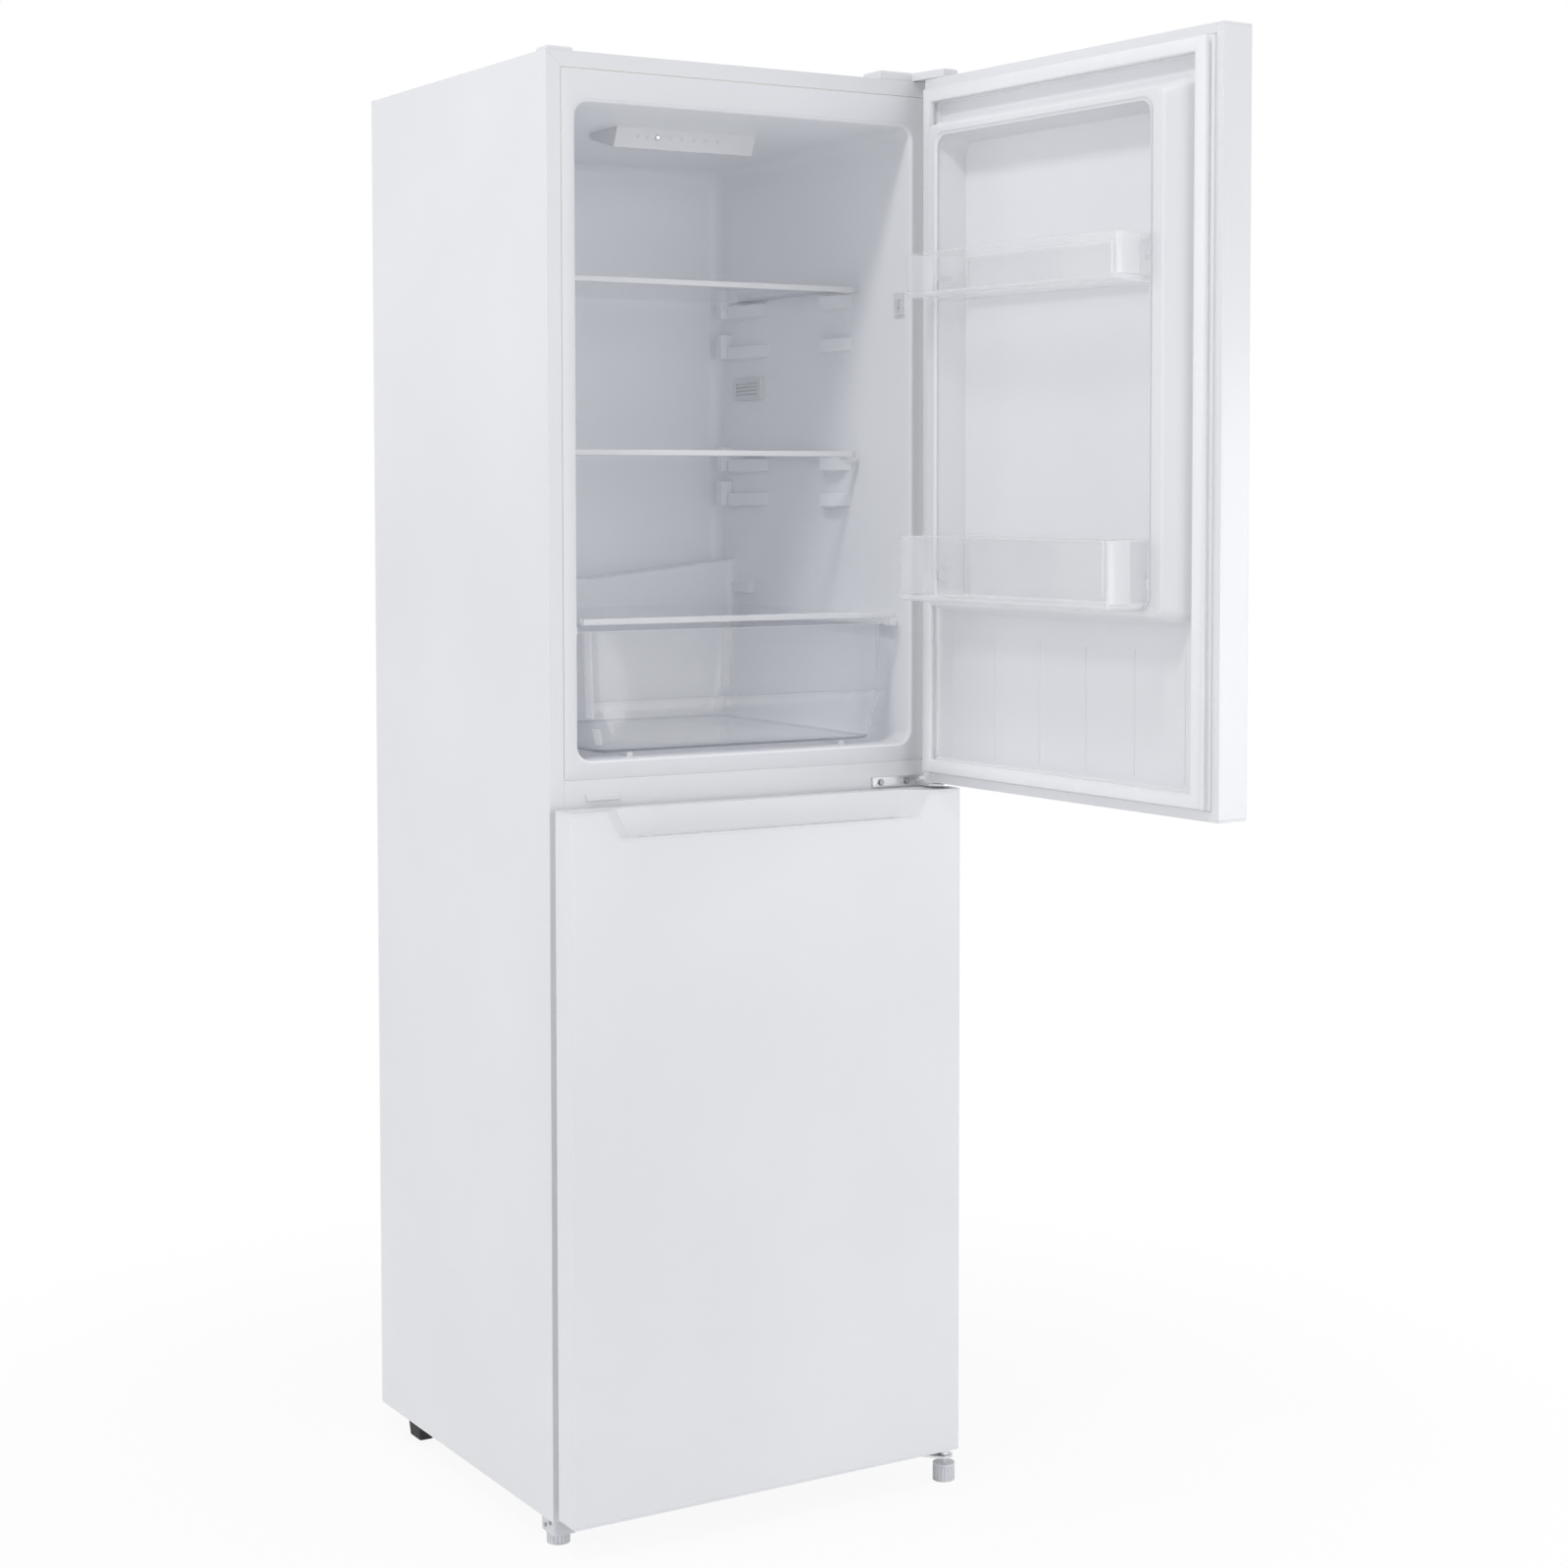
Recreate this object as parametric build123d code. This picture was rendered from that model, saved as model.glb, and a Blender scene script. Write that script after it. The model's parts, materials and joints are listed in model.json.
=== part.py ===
from build123d import *
import os

os.makedirs("parts", exist_ok=True)

# Bottom freezer refrigerator, millimetres, +Z up, standing on z = 0.
# Inside this file y = 0 is the cabinet's front face and +Y goes back; the last
# step moves everything so that the footprint's centre lies on the origin.

# cabinet shell
cab_width = 545.0
cab_depth = 525.0
cab_height = 1742.0
foot_height = 34.0
sheet = 1.0
flange_width = 19.0
liner_wall = 2.0
half_cab = cab_width / 2
inner_half = half_cab - sheet
seam_half = half_cab - flange_width
cab_bottom = foot_height
cab_top = cab_bottom + cab_height
plan_shift = -cab_depth / 2

# the line between the two doors and the steel rail behind it
split_z = 893.0
door_space = 8.0
rail_half = 28.0
rail_bottom = split_z - rail_half
rail_top = split_z + rail_half

# doors
door_gap = 15.5
door_thick = 43.0
door_edge_round = 3.0
door_rim = 12.0
cap_thick = 3.0
door_floor_lift = 8.5
door_top_drop = 2.0
rest_open = 93.0
door_in = -door_gap
door_out = door_in - door_thick
rim_half = half_cab - door_rim
low_door_z0 = cab_bottom + door_floor_lift
low_door_z1 = split_z - door_space / 2
up_door_z0 = split_z + door_space / 2
up_door_z1 = cab_top - door_top_drop

# hinge axis shared by both doors
hinge_inset = 11.5
pivot_x = half_cab - hinge_inset
pivot_y = -40.0
pin_radius = 4.0
pin_fit = 0.08
pin_length = 14.0
collar_radius = 8.0
hinge_sheet = 3.0
body_gap = 0.3
screw_head = 4.5
screw_head_high = 3.0
top_plate_long = 67.0
top_cover_long = 83.0
top_cover_high = 11.0
top_cover_wall = 2.2
rail_plate_long = 92.0
rail_plate_low = split_z - 3.5
rail_plate_high = 13.0
rail_arm_long = 32.0
foot_plate_long = 64.0
foot_plate_back = 58.0

# fridge compartment
mouth_round = 5.0
mouth_slope = 19.5
back_slope = 27.0
cave_front_half = half_cab - flange_width - mouth_slope
cave_back_half = half_cab - flange_width - back_slope
fridge_floor = rail_top + 22.5
fridge_ceiling_front = cab_top - 57.0
fridge_ceiling_back = cab_top - 69.0
back_wall_foam = 43.0
fridge_back = cab_depth - back_wall_foam - liner_wall
cave_corner = 18.0

# freezer compartment
freezer_floor = cab_bottom + 50.0
freezer_ceiling = rail_bottom - 19.0
freezer_back = cab_depth - 85.0
freezer_flange_z0 = cab_bottom + 28.0

# freezer plates and drawers
plate_thick = 4.0
plate_side_gap = 1.5
plate_y0 = 26.0
plate_ledge = 6.0
freezer_plate_levels = (freezer_floor + 261.0, freezer_floor + 511.0)
bin_y0 = 18.0
bin_wall = 2.5
bin_side_gap = 8.0
bin_top_gap = 8.0
bin_roof_gap = 16.0
bin_rear_gap = 14.0
bin_front_deep = 14.0
bin_front_rise = 30.0
bin_front_open = 46.0
grip_half = 70.0
grip_top = 12.0
grip_high = 26.0

# compressor space at the lower back
engine_y0 = cab_depth - 195.0
engine_top = cab_bottom + 221.0
engine_foam = 41.0

# drain trough on the back wall
trough_out = 42.0
trough_side_z = fridge_floor + 222.0
trough_drop = 22.0
trough_lip = 8.0
trough_width = 26.0
trough_deep = 8.0
drain_radius = 5.0
drain_wall = 1.2
drain_lean = 14.0
trough_y0 = fridge_back - trough_out
drain_y = trough_y0 + trough_lip + trough_width / 2

# wall supports for the glass shelves: height of the shelf's underside
shelf_high_z = fridge_floor + 575.0
shelf_spare_z = shelf_high_z - 56.0
shelf_low_z = fridge_floor + 363.5
shelf_spare_low_z = shelf_low_z - 47.0
pad_out = 8.0
pad_high = 17.0
pad_lead = 25.0
pad_front_y = 136.0
pad_front_long = 60.0
pad_rear_y = 344.0
pad_rear_long = 98.0
tab_out = 17.0
tab_long = 14.0
tab_up = 17.0
cover_stop_y = 385.0
cover_stop_up = 20.0
cover_stop_high = 14.0

# glass shelves
glass = 4.0
shelf_front_y = 112.0
shelf_depth = 305.0
shelf_side_gap = 2.2
shelf_rim = 8.0
shelf_rim_high = 7.0
shelf_rim_side = 4.0
shelf_glass_up = 2.0
shelf_glass_side = 1.5
shelf_glass_end = 3.0

# crisper
crisper_cover_z = fridge_floor + 158.0
cover_front_y = 22.0
cover_depth = 408.0
cover_trim = 10.0
cover_trim_side = 4.0
cover_trim_below = 2.0
cover_trim_above = 1.5
ledge_out = 9.0
ledge_high = 10.0
crisper_y0 = 22.0
crisper_depth = 402.0
crisper_wall = 2.5
crisper_rib = 5.0
crisper_top_gap = 6.0
crisper_round = 14.0
# how far up, and the half width there
crisper_steps = [(0.0, 198.0), (0.2, 204.0), (0.29, 212.0), (1.0, 215.0)]
finger_ledge_half = 206.0
finger_ledge_out = 8.0
finger_ledge_up = 0.41
finger_ledge_lip = 9.0
crisper_rail_half = 218.0

# top control box
box_half = 99.0
box_y0 = 154.0
box_deep = 93.0
box_drop = 28.0
box_face_lean = 12.0
box_rear_slope = 17.0
box_rear_rise = 15.0
window_half = 62.0
window_start = 24.0
window_end = 66.0
window_deep = 8.0

# sensor cover and lamp switch
sensor_y0 = pad_rear_y + 14.0
sensor_long = 74.0
sensor_high = 30.0
sensor_up = 81.0
sensor_proud = 4.0
slot_count = 4
slot_space = 5.0
slot_wide = 2.0
plunger_wide = 5.0
plunger_high = 10.0
plunger_fit = 0.1
button_radius = 4.0
button_x = -40.0
button_long = 6.0
button_fit = 0.1

# door racks, seen with the door shut
rack_wall = 2.5
rack_round = 9.0
rack_rear_half = 184.0
rack_front_half = 202.0
rack_rear_y = door_in + 2.5
low_rack_z = up_door_z0 + 233.5
low_rack_high = 78.0
low_rack_out = 97.0
high_rack_z = up_door_z0 + 598.5
high_rack_high = 53.0
high_rack_out = 86.0
lug_start = 20.0
lug_long = 13.0
lug_high = 12.0
lug_inner = 191.5
hook_outer = 194.3

# raised dike round the fridge door's racks
dike_high = 38.0
dike_base_half = 232.0
dike_crest_half = 220.0
pocket_base_half = 188.0
pocket_crest_half = 200.0
dike_z0 = up_door_z0 + 216.0
dike_z1 = cab_top - 54.0
dike_top_wide = 35.0
dike_slope = 13.0
dike_foot = 8.0
dike_round = 14.0
dike_foot_wide = low_rack_z - 0.8 - dike_z0
pocket_slope = 12.0
panel_rib_count = 6
panel_rib_space = 86.0
panel_rib_half = 2.0
panel_rib_high = 1.2
panel_rib_long = 145.0

# freezer door's shallow inner panel
plug_half = 228.0
plug_margin = 12.0
plug_high = 10.0
plug_slope = 6.0

# door seals
seal_outer = rim_half - 1.0
seal_wide = 20.0
seal_base = 3.5
seal_neck = 4.0
seal_neck_wide = 8.0
seal_bulb_wide = 17.0

# finger scoop in a door's edge
scoop_top_half = 228.0
scoop_low_half = 210.0
scoop_high = 33.0
scoop_deep = 24.0
scoop_side_slope = 25.0
scoop_wall = 2.5
scoop_lip = 5.0
scoop_groove = 12.0
scoop_groove_deep = 10.0

# feet
foot_radius = 14.0
foot_flute = 1.3
flute_count = 18
stem_radius = 3.0
stem_fit = 0.1
right_foot_high = 22.0
left_foot_high = 13.0
left_foot_x = -half_cab + 20.0
left_foot_y = 27.0
rear_foot_x = half_cab - 29.5
rear_foot_y = cab_depth - 65.0

# compressor group
comp_x = 95.0
comp_y = cab_depth - 95.0
comp_radius = 66.0
comp_high = 138.0
comp_rail_y0 = cab_depth - 180.0
comp_rail_long = 160.0
comp_rail_lip = 12.0
comp_rail_sheet = 2.0
comp_plate_half_x = 90.0
comp_plate_half_y = 55.0
relay_half = 26.0
relay_deep = 38.0
relay_high = 52.0
tray_half_x = 74.0
tray_half_y = 52.0
tray_high = 22.0
tray_wall = 2.0
chute_half = 14.0
chute_start = -18.0
chute_high = 14.0
drier_radius = 9.0
drier_long = 80.0
gland_x = -195.0
gland_half = 11.0
gland_radius = 8.0
gland_bore = 4.5
gland_up = 13.0


def span(x0, x1, y0, y1, z0, z1):
    """A box given by its six faces."""
    solid = Box(x1 - x0, y1 - y0, z1 - z0)
    return Pos((x0 + x1) / 2, (y0 + y1) / 2, (z0 + z1) / 2) * solid


def both_sides(x0, x1, y0, y1, z0, z1):
    """The same box at +x and -x."""
    return span(x0, x1, y0, y1, z0, z1) + span(-x1, -x0, y0, y1, z0, z1)


def face_of(points):
    return make_face(Polyline(*points, close=True))


def prism_x(points, x0, x1):
    return extrude(Plane.YZ.offset(x0) * face_of(points), x1 - x0)


def prism_y(points, y0, y1):
    return extrude(Plane.XZ.offset(-y1) * face_of(points), y1 - y0)


def prism_z(points, z0, z1):
    return extrude(Plane.XY.offset(z0) * face_of(points), z1 - z0)


def rod(x, y, z0, z1, radius):
    return Pos(x, y, (z0 + z1) / 2) * Cylinder(radius, z1 - z0)


def rod_y(x, z, y0, y1, radius):
    return Pos(x, (y0 + y1) / 2, z) * Rot(90, 0, 0) * Cylinder(radius, y1 - y0)


def rod_x(y, z, x0, x1, radius):
    return Pos((x0 + x1) / 2, y, z) * Rot(0, 90, 0) * Cylinder(radius, x1 - x0)


def front_section(y, half, z0, z1, corner):
    """Rounded rectangle standing across the cabinet at depth y."""
    shape = RectangleRounded(2 * half, z1 - z0, corner)
    return Plane.XZ.offset(-y) * Pos(0, (z0 + z1) / 2) * shape


def flat_section(z, half, y0, y1, corner):
    """Rounded rectangle lying at height z."""
    shape = RectangleRounded(2 * half, y1 - y0, corner)
    return Plane.XY.offset(z) * Pos(0, (y0 + y1) / 2) * shape


def open_door(shape):
    """Turns a shut fridge door to the angle that it stands at."""
    turn = Pos(pivot_x, pivot_y, 0) * Rot(0, 0, rest_open) * Pos(-pivot_x, -pivot_y, 0)
    return turn * shape


def put(name, shape):
    export_step(Pos(0, plan_shift, 0) * shape, "parts/" + name + ".step")


# ---------------------------------------------------------------- compartments
def cave(half_front, half_back, z0, z1_front, z1_back, y_back, grow):
    """Hollow of a liner with a rounded mouth; grow makes it that much larger."""
    r = mouth_round
    mouth = [(r, 0.0), (r * 0.5, r * 0.134), (r * 0.134, r * 0.5), (0.0, r)]
    cuts = []
    for wide, deep in mouth:
        size = wide + grow
        cuts.append(front_section(deep + grow, half_front + size, z0 - size,
                                  z1_front + size, cave_corner + size))
    cuts.append(front_section(y_back + grow, half_back + grow, z0 - grow,
                              z1_back + grow, cave_corner + grow))
    return loft(cuts, ruled=True)


def fridge_cave(grow):
    hollow = cave(cave_front_half, cave_back_half, fridge_floor, fridge_ceiling_front,
                  fridge_ceiling_back, fridge_back, grow)
    return hollow - trough_block(grow)


def trough_block(grow):
    """Thick lower back wall; its top slopes to the middle and carries the trough."""
    low = trough_side_z - trough_drop
    far = half_cab

    def vee(drop):
        return [(-far, fridge_floor - 40), (far, fridge_floor - 40),
                (far, trough_side_z - drop), (0, low - drop), (-far, trough_side_z - drop)]

    block = prism_y(vee(grow), trough_y0 + grow, cab_depth)
    gutter_y0 = trough_y0 + trough_lip - grow
    gutter = span(-far, far, gutter_y0, gutter_y0 + trough_width + 2 * grow,
                  fridge_floor, trough_side_z + 40)
    return block - (gutter - prism_y(vee(grow + trough_deep), trough_y0, cab_depth))


def freezer_cave(grow):
    hollow = cave(cave_front_half, cave_back_half, freezer_floor, freezer_ceiling,
                  freezer_ceiling, freezer_back, grow)
    step_y = engine_y0 - engine_foam + grow
    step_z = engine_top + 15.0 - grow
    return hollow - span(-half_cab, half_cab, step_y, cab_depth, cab_bottom, step_z)


def wall_pad(y0, length, top):
    """Pad on both side walls; its front end slants out of the wall."""
    wall = cave_front_half + liner_wall
    reach = cave_back_half - pad_out
    plan = [(wall, y0), (wall, y0 + length), (reach, y0 + length), (reach, y0 + pad_lead)]
    pad = prism_z(plan, top - pad_high, top)
    return pad + mirror(pad, about=Plane.YZ)


def shelf_supports(underside, outer):
    """Front pads and rear pads of one shelf level, and the tabs behind it."""
    top = underside - body_gap
    tab_y = pad_rear_y + pad_rear_long
    pads = wall_pad(pad_front_y, pad_front_long, top)
    pads += wall_pad(pad_rear_y, pad_rear_long, top)
    pads += both_sides(cave_back_half - tab_out, cave_front_half + liner_wall, tab_y,
                       tab_y + tab_long, top - pad_high, top + tab_up)
    return pads & outer


def crisper_supports(outer):
    """Side ledges under the glass cover, its rear stops and the drawer's floor ribs."""
    wall = cave_front_half + liner_wall
    reach = cave_back_half - ledge_out + 4.0
    top = crisper_cover_z
    parts = both_sides(reach, wall, cover_front_y + 8, trough_y0, top - ledge_high, top)
    stop_z = top + cover_stop_up
    parts += both_sides(reach, wall, cover_stop_y, trough_y0, stop_z, stop_z + cover_stop_high)
    parts += both_sides(146, 154, crisper_y0 + 8, trough_y0, fridge_floor - liner_wall / 2,
                        fridge_floor + crisper_rib)
    return parts & outer


def flange_plate(z0, z1):
    return span(-seam_half, seam_half, 0, liner_wall, z0, z1)


fridge_outer = fridge_cave(liner_wall)
fridge_inner = fridge_cave(0.0)
freezer_outer = freezer_cave(liner_wall)
freezer_inner = freezer_cave(0.0)
fridge_flange = flange_plate(rail_top, cab_top - flange_width)
freezer_flange = flange_plate(freezer_flange_z0, rail_bottom)
drain_top = trough_side_z - trough_drop - trough_deep
drain_end = engine_top - 40.0


def drain_rod(radius, beyond):
    """Rod along the drain, which leans to the side where the melt water tray is."""
    rise = drain_top - drain_end
    start = Vector(drain_lean, drain_y, drain_end)
    along = Vector(-drain_lean, 0, rise).normalized()
    length = (rise ** 2 + drain_lean ** 2) ** 0.5 + 2 * beyond
    return extrude(Plane(start - along * beyond, z_dir=along) * Circle(radius), length)


drain_bore = drain_rod(drain_radius, drain_radius)


switch_y = 19.0
switch_z = shelf_high_z - 19.0
switch_proud = 4.5
switch_deep = 12.0
plunger_out = 5.0
plunger_travel = 4.0
switch_block = span(cave_front_half - switch_proud, cave_front_half + switch_deep,
                    switch_y - 6, switch_y + 14, switch_z - 14, switch_z + 14)


def fridge_liner():
    liner = fridge_flange + fridge_outer - fridge_inner
    for level in (shelf_high_z, shelf_spare_z, shelf_low_z, shelf_spare_low_z):
        liner += shelf_supports(level, fridge_outer)
    liner += crisper_supports(fridge_outer)
    return liner - drain_bore - switch_block


def freezer_liner():
    liner = freezer_flange + freezer_outer - freezer_inner
    wall = cave_front_half + liner_wall
    for level in freezer_plate_levels:
        ledge = both_sides(cave_back_half - plate_ledge, wall, plate_y0 - 2, freezer_back,
                           level - plate_ledge, level)
        liner += ledge & freezer_outer
    return liner


put("fridge_liner", fridge_liner())
put("freezer_liner", freezer_liner())


# ---------------------------------------------------------------- cabinet shell
def side_panel(side):
    """Side sheet with its front return, mitred at the top, and its bottom return."""
    panel = span(inner_half, half_cab, 0, cab_depth, cab_bottom, cab_top)
    panel += prism_y([(inner_half, cab_bottom), (inner_half, cab_top - sheet),
                      (seam_half, cab_top - flange_width), (seam_half, cab_bottom)], 0, sheet)
    panel += span(inner_half - 15, inner_half, sheet, cab_depth, cab_bottom, cab_bottom + sheet)
    if side < 0:
        panel = mirror(panel, about=Plane.YZ)
    return panel


def top_panel():
    low = cab_top - flange_width
    panel = span(-inner_half, inner_half, 0, cab_depth, cab_top - sheet, cab_top)
    return panel + prism_y([(-inner_half, cab_top - sheet), (inner_half, cab_top - sheet),
                            (seam_half, low), (-seam_half, low)], 0, sheet)


def base_plate():
    """Front rail, floor, the step over the compressor and the step's roof."""
    z0 = cab_bottom + sheet
    plate = span(-seam_half, seam_half, 0, sheet, z0, freezer_flange_z0)
    plate += span(-inner_half, inner_half, sheet, engine_y0, z0, z0 + sheet)
    plate += span(-inner_half, inner_half, engine_y0 - sheet, engine_y0, z0, engine_top)
    plate += span(-inner_half, inner_half, engine_y0 - sheet, cab_depth - sheet,
                  engine_top - sheet, engine_top)
    return plate - drain_bore


def crossbar():
    bar = span(-seam_half, seam_half, 0, sheet, rail_bottom, rail_top)
    bar += span(-seam_half, seam_half, sheet, 9, rail_top - sheet, rail_top)
    bar += span(-seam_half, seam_half, sheet, 9, rail_bottom, rail_bottom + sheet)
    return bar


def cabinet_foam():
    """Insulation that fills the shell round both liners."""
    foam = span(-inner_half, inner_half, sheet, cab_depth - sheet,
                cab_bottom + 2 * sheet, cab_top - sheet)
    foam -= span(-inner_half, inner_half, engine_y0 - sheet, cab_depth, 0, engine_top)
    foam = foam - fridge_outer - freezer_outer - fridge_flange - freezer_flange
    foam -= span(-seam_half, seam_half, 0, 9, rail_bottom, rail_top)
    return foam - drain_bore - switch_block


put("side_panel_left", side_panel(-1))
put("side_panel_right", side_panel(1))
put("top_panel", top_panel())
put("base_plate", base_plate())
put("crossbar", crossbar())
put("cabinet_foam", cabinet_foam())
put("back_panel", span(-inner_half, inner_half, cab_depth - sheet, cab_depth,
                       engine_top - sheet, cab_top - sheet))
put("drain_tube", drain_bore - drain_rod(drain_radius - drain_wall, 2 * drain_radius)
    - span(-half_cab, half_cab, 0, cab_depth, drain_top, cab_top))


# ---------------------------------------------------------------- hinges and covers
def hinge_outline(left, back):
    """Plate outline from the cabinet out to the pivot, rounded round the pin."""
    tip = pivot_y - 11
    right = half_cab - 5
    return [(left, back), (right, back), (right, tip + 5), (right - 4, tip),
            (pivot_x - 6, tip), (pivot_x - 11, tip + 4), (pivot_x - 19, 4), (left, 4)]


def top_hinge():
    left = half_cab - 5 - top_plate_long
    plate = prism_z(hinge_outline(left, 34), cab_top, cab_top + hinge_sheet)
    return plate + rod(pivot_x, pivot_y, cab_top - pin_length, cab_top, pin_radius)


def cover_outline(grow):
    left = half_cab - 1 - top_cover_long - grow
    tip = pivot_y - 15 - grow
    right = half_cab - 1 + min(0, grow)
    return [(left, 40 + grow), (right, 40 + grow), (right, tip + 5), (right - 5, tip),
            (pivot_x - 15 - grow, tip), (pivot_x - 24 - grow, 0.5 - grow), (left, 0.5 - grow)]


def top_hinge_cover():
    top = cab_top + top_cover_high
    cover = prism_z(cover_outline(0.0), cab_top, top)
    cover = chamfer(cover.edges().group_by(Axis.Z)[-1], 2.0)
    return cover - prism_z(cover_outline(-top_cover_wall), cab_top, top - top_cover_wall)


def middle_hinge():
    """Plate on the rail, an arm between the doors and a pin for each door."""
    right = half_cab - 4
    arm_left = right - rail_arm_long
    z_arm = split_z - hinge_sheet / 2
    plate = span(right - rail_plate_long, right, -hinge_sheet, 0, rail_plate_low,
                 rail_plate_low + rail_plate_high)
    tip = pivot_y - 12
    outline = [(arm_left, -hinge_sheet), (right, -hinge_sheet), (right, tip + 6),
               (half_cab - 8, tip), (pivot_x - 9, tip), (arm_left, tip + 12)]
    arm = prism_z(outline, z_arm, z_arm + hinge_sheet)
    top = up_door_z0 - body_gap
    pins = rod(pivot_x, pivot_y, low_door_z1 - pin_length, top + pin_length, pin_radius)
    collar = rod(pivot_x, pivot_y, z_arm, top, collar_radius)
    return plate + arm + pins + collar


def bottom_hinge():
    """Bracket under the cabinet that carries the freezer door and takes the right foot."""
    z0 = cab_bottom - hinge_sheet
    tip = pivot_y - 14
    right = half_cab - 2
    left = right - foot_plate_long
    outline = [(left, foot_plate_back), (right, foot_plate_back), (right, tip + 8),
               (right - 6, tip), (pivot_x - 8, tip), (pivot_x - 16, tip + 8), (left, -1)]
    plate = prism_z(outline, z0, cab_bottom)
    seat = low_door_z0 - body_gap
    pin = rod(pivot_x, pivot_y, cab_bottom, seat, collar_radius)
    pin += rod(pivot_x, pivot_y, seat, seat + pin_length, pin_radius)
    return plate + pin - rod(pivot_x, pivot_y, z0 - 1, cab_bottom + 6, stem_radius + stem_fit)


def foot_bracket_left():
    """Moulded corner block that takes the left foot's stem."""
    block = span(left_foot_x - 15, left_foot_x + 15, left_foot_y - 20, left_foot_y + 17,
                 left_foot_high + 1, cab_bottom)
    block = fillet(block.edges().filter_by(Axis.Z), 4)
    return block - rod(left_foot_x, left_foot_y, 0, cab_bottom - 4, stem_radius + stem_fit)


def hex_screw(x, y, z):
    """Flanged hexagon head that stands on a level face at z."""
    flange = rod(x, y, z, z + 1, screw_head)
    head = Plane.XY.offset(z + 1) * Pos(x, y) * RegularPolygon(screw_head * 0.78, 6)
    return flange + extrude(head, screw_head_high - 1)


def cabinet_screws():
    """Every fixing screw on the cabinet, each a solid of its own."""
    group = []
    for x, y in ((half_cab - 56, 18), (half_cab - 34, 24), (half_cab - 14, 18)):
        group.append(hex_screw(x, y, cab_top + hinge_sheet))
    for x in (half_cab - 84, half_cab - 45.5):
        screw = hex_screw(0, 0, 0)
        group.append(Pos(x, -hinge_sheet, split_z + 3) * Rot(90, 0, 0) * screw)
    for x, y in ((half_cab - 52, 12), (half_cab - 52, 44), (half_cab - 16, 44)):
        screw = mirror(hex_screw(x, y, 0), about=Plane.XY)
        group.append(Pos(0, 0, cab_bottom - hinge_sheet) * screw)
    for y, z in ((left_foot_y - 9, 28), (left_foot_y + 4, 22)):
        group.append(rod_x(y, z, left_foot_x - 16.6, left_foot_x - 15, 2.6))
    return Compound(children=[item.solids()[0] for item in group])


def crossbar_cover():
    cover = span(-half_cab + 47.5, -half_cab + 93, -3, 0, split_z + 2, split_z + 11)
    return chamfer(cover.edges().group_by(Axis.Y)[0], 1.2)


def top_left_cover():
    cap = span(-half_cab + 2, -half_cab + 36, 2, 30, cab_top, cab_top + 5)
    return chamfer(cap.edges().group_by(Axis.Z)[-1], 1.5)


put("top_hinge", top_hinge())
put("top_hinge_cover", top_hinge_cover())
put("middle_hinge", middle_hinge())
put("bottom_hinge", bottom_hinge())
put("foot_bracket_left", foot_bracket_left())
put("cabinet_screws", cabinet_screws())
put("crossbar_cover", crossbar_cover())
put("top_left_cover", top_left_cover())


# ---------------------------------------------------------------- feet
def fluted_foot(x, y, high, stem_top):
    foot = rod(x, y, 0, high, foot_radius)
    grooves = []
    for k in range(flute_count):
        place = Pos(x, y, 0) * Rot(0, 0, 360 * k / flute_count) * Pos(foot_radius, 0, 0)
        grooves.append(place * rod(0, 0, 1.5, high - 2.5, foot_flute))
    foot = foot - grooves
    return foot + rod(x, y, high, stem_top, stem_radius)


def rear_feet():
    feet = []
    for side in (-1, 1):
        x = side * rear_foot_x
        low = Pos(x, rear_foot_y, 0) * RectangleRounded(20, 34, 4)
        top = Plane.XY.offset(cab_bottom + sheet) * Pos(x, rear_foot_y) * RectangleRounded(24, 46, 4)
        feet.append(loft([Sketch() + low, Sketch() + top]).solids()[0])
    return Compound(children=feet)


put("foot_right", fluted_foot(pivot_x, pivot_y, right_foot_high, cab_bottom + 5.5))
put("foot_left", fluted_foot(left_foot_x, left_foot_y, left_foot_high, cab_bottom - 5))
put("rear_feet", rear_feet())


# ---------------------------------------------------------------- fridge fittings
def below_face(y):
    """A little in front of a face, so that a cut goes clean through it."""
    return y - 5


def control_parts():
    """Wedge box on the ceiling with its lamp window and push button."""
    low = fridge_ceiling_front - box_drop
    above = low + 60
    y1 = box_y0 + box_deep
    side = [(box_y0, above), (box_y0, low + box_drop), (box_y0 + box_face_lean, low),
            (y1 - box_rear_slope, low + box_rear_rise), (y1, above)]
    body = prism_x(side, -box_half, box_half) & fridge_inner
    below = low - 5
    window_y0 = box_y0 + window_start
    window_y1 = box_y0 + window_end
    window_side = [(window_y0, below), (window_y1, below),
                   (window_y1, low + window_deep + 8), (window_y0, low + window_deep)]
    window = prism_x(window_side, -window_half, window_half)
    lens = body & window
    button_z = low + box_drop / 2
    face_y = box_y0 + box_face_lean / 2
    button_y0 = face_y - 1
    bore = rod_y(button_x, button_z, below_face(box_y0), button_y0 + button_long + 4,
                 button_radius + button_fit)
    button = rod_y(button_x, button_z, button_y0, button_y0 + button_long, button_radius)
    return body - window - bore, lens, button


def sensor_cover():
    """Slotted cover on the right wall, thin enough to pass behind the shelf's edge."""
    y0 = sensor_y0
    y1 = y0 + sensor_long
    z0 = shelf_low_z + sensor_up
    margin = 8
    cover = span(cave_back_half - sensor_proud, cave_front_half + 1, y0, y1, z0, z0 + sensor_high)
    cover = cover & fridge_inner
    for k in range(slot_count):
        z = z0 + slot_space * k + slot_space + 1
        cover -= span(0, cave_back_half - sensor_proud / 2, y0 + margin, y1 - margin,
                      z, z + slot_wide)
    return cover


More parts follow.
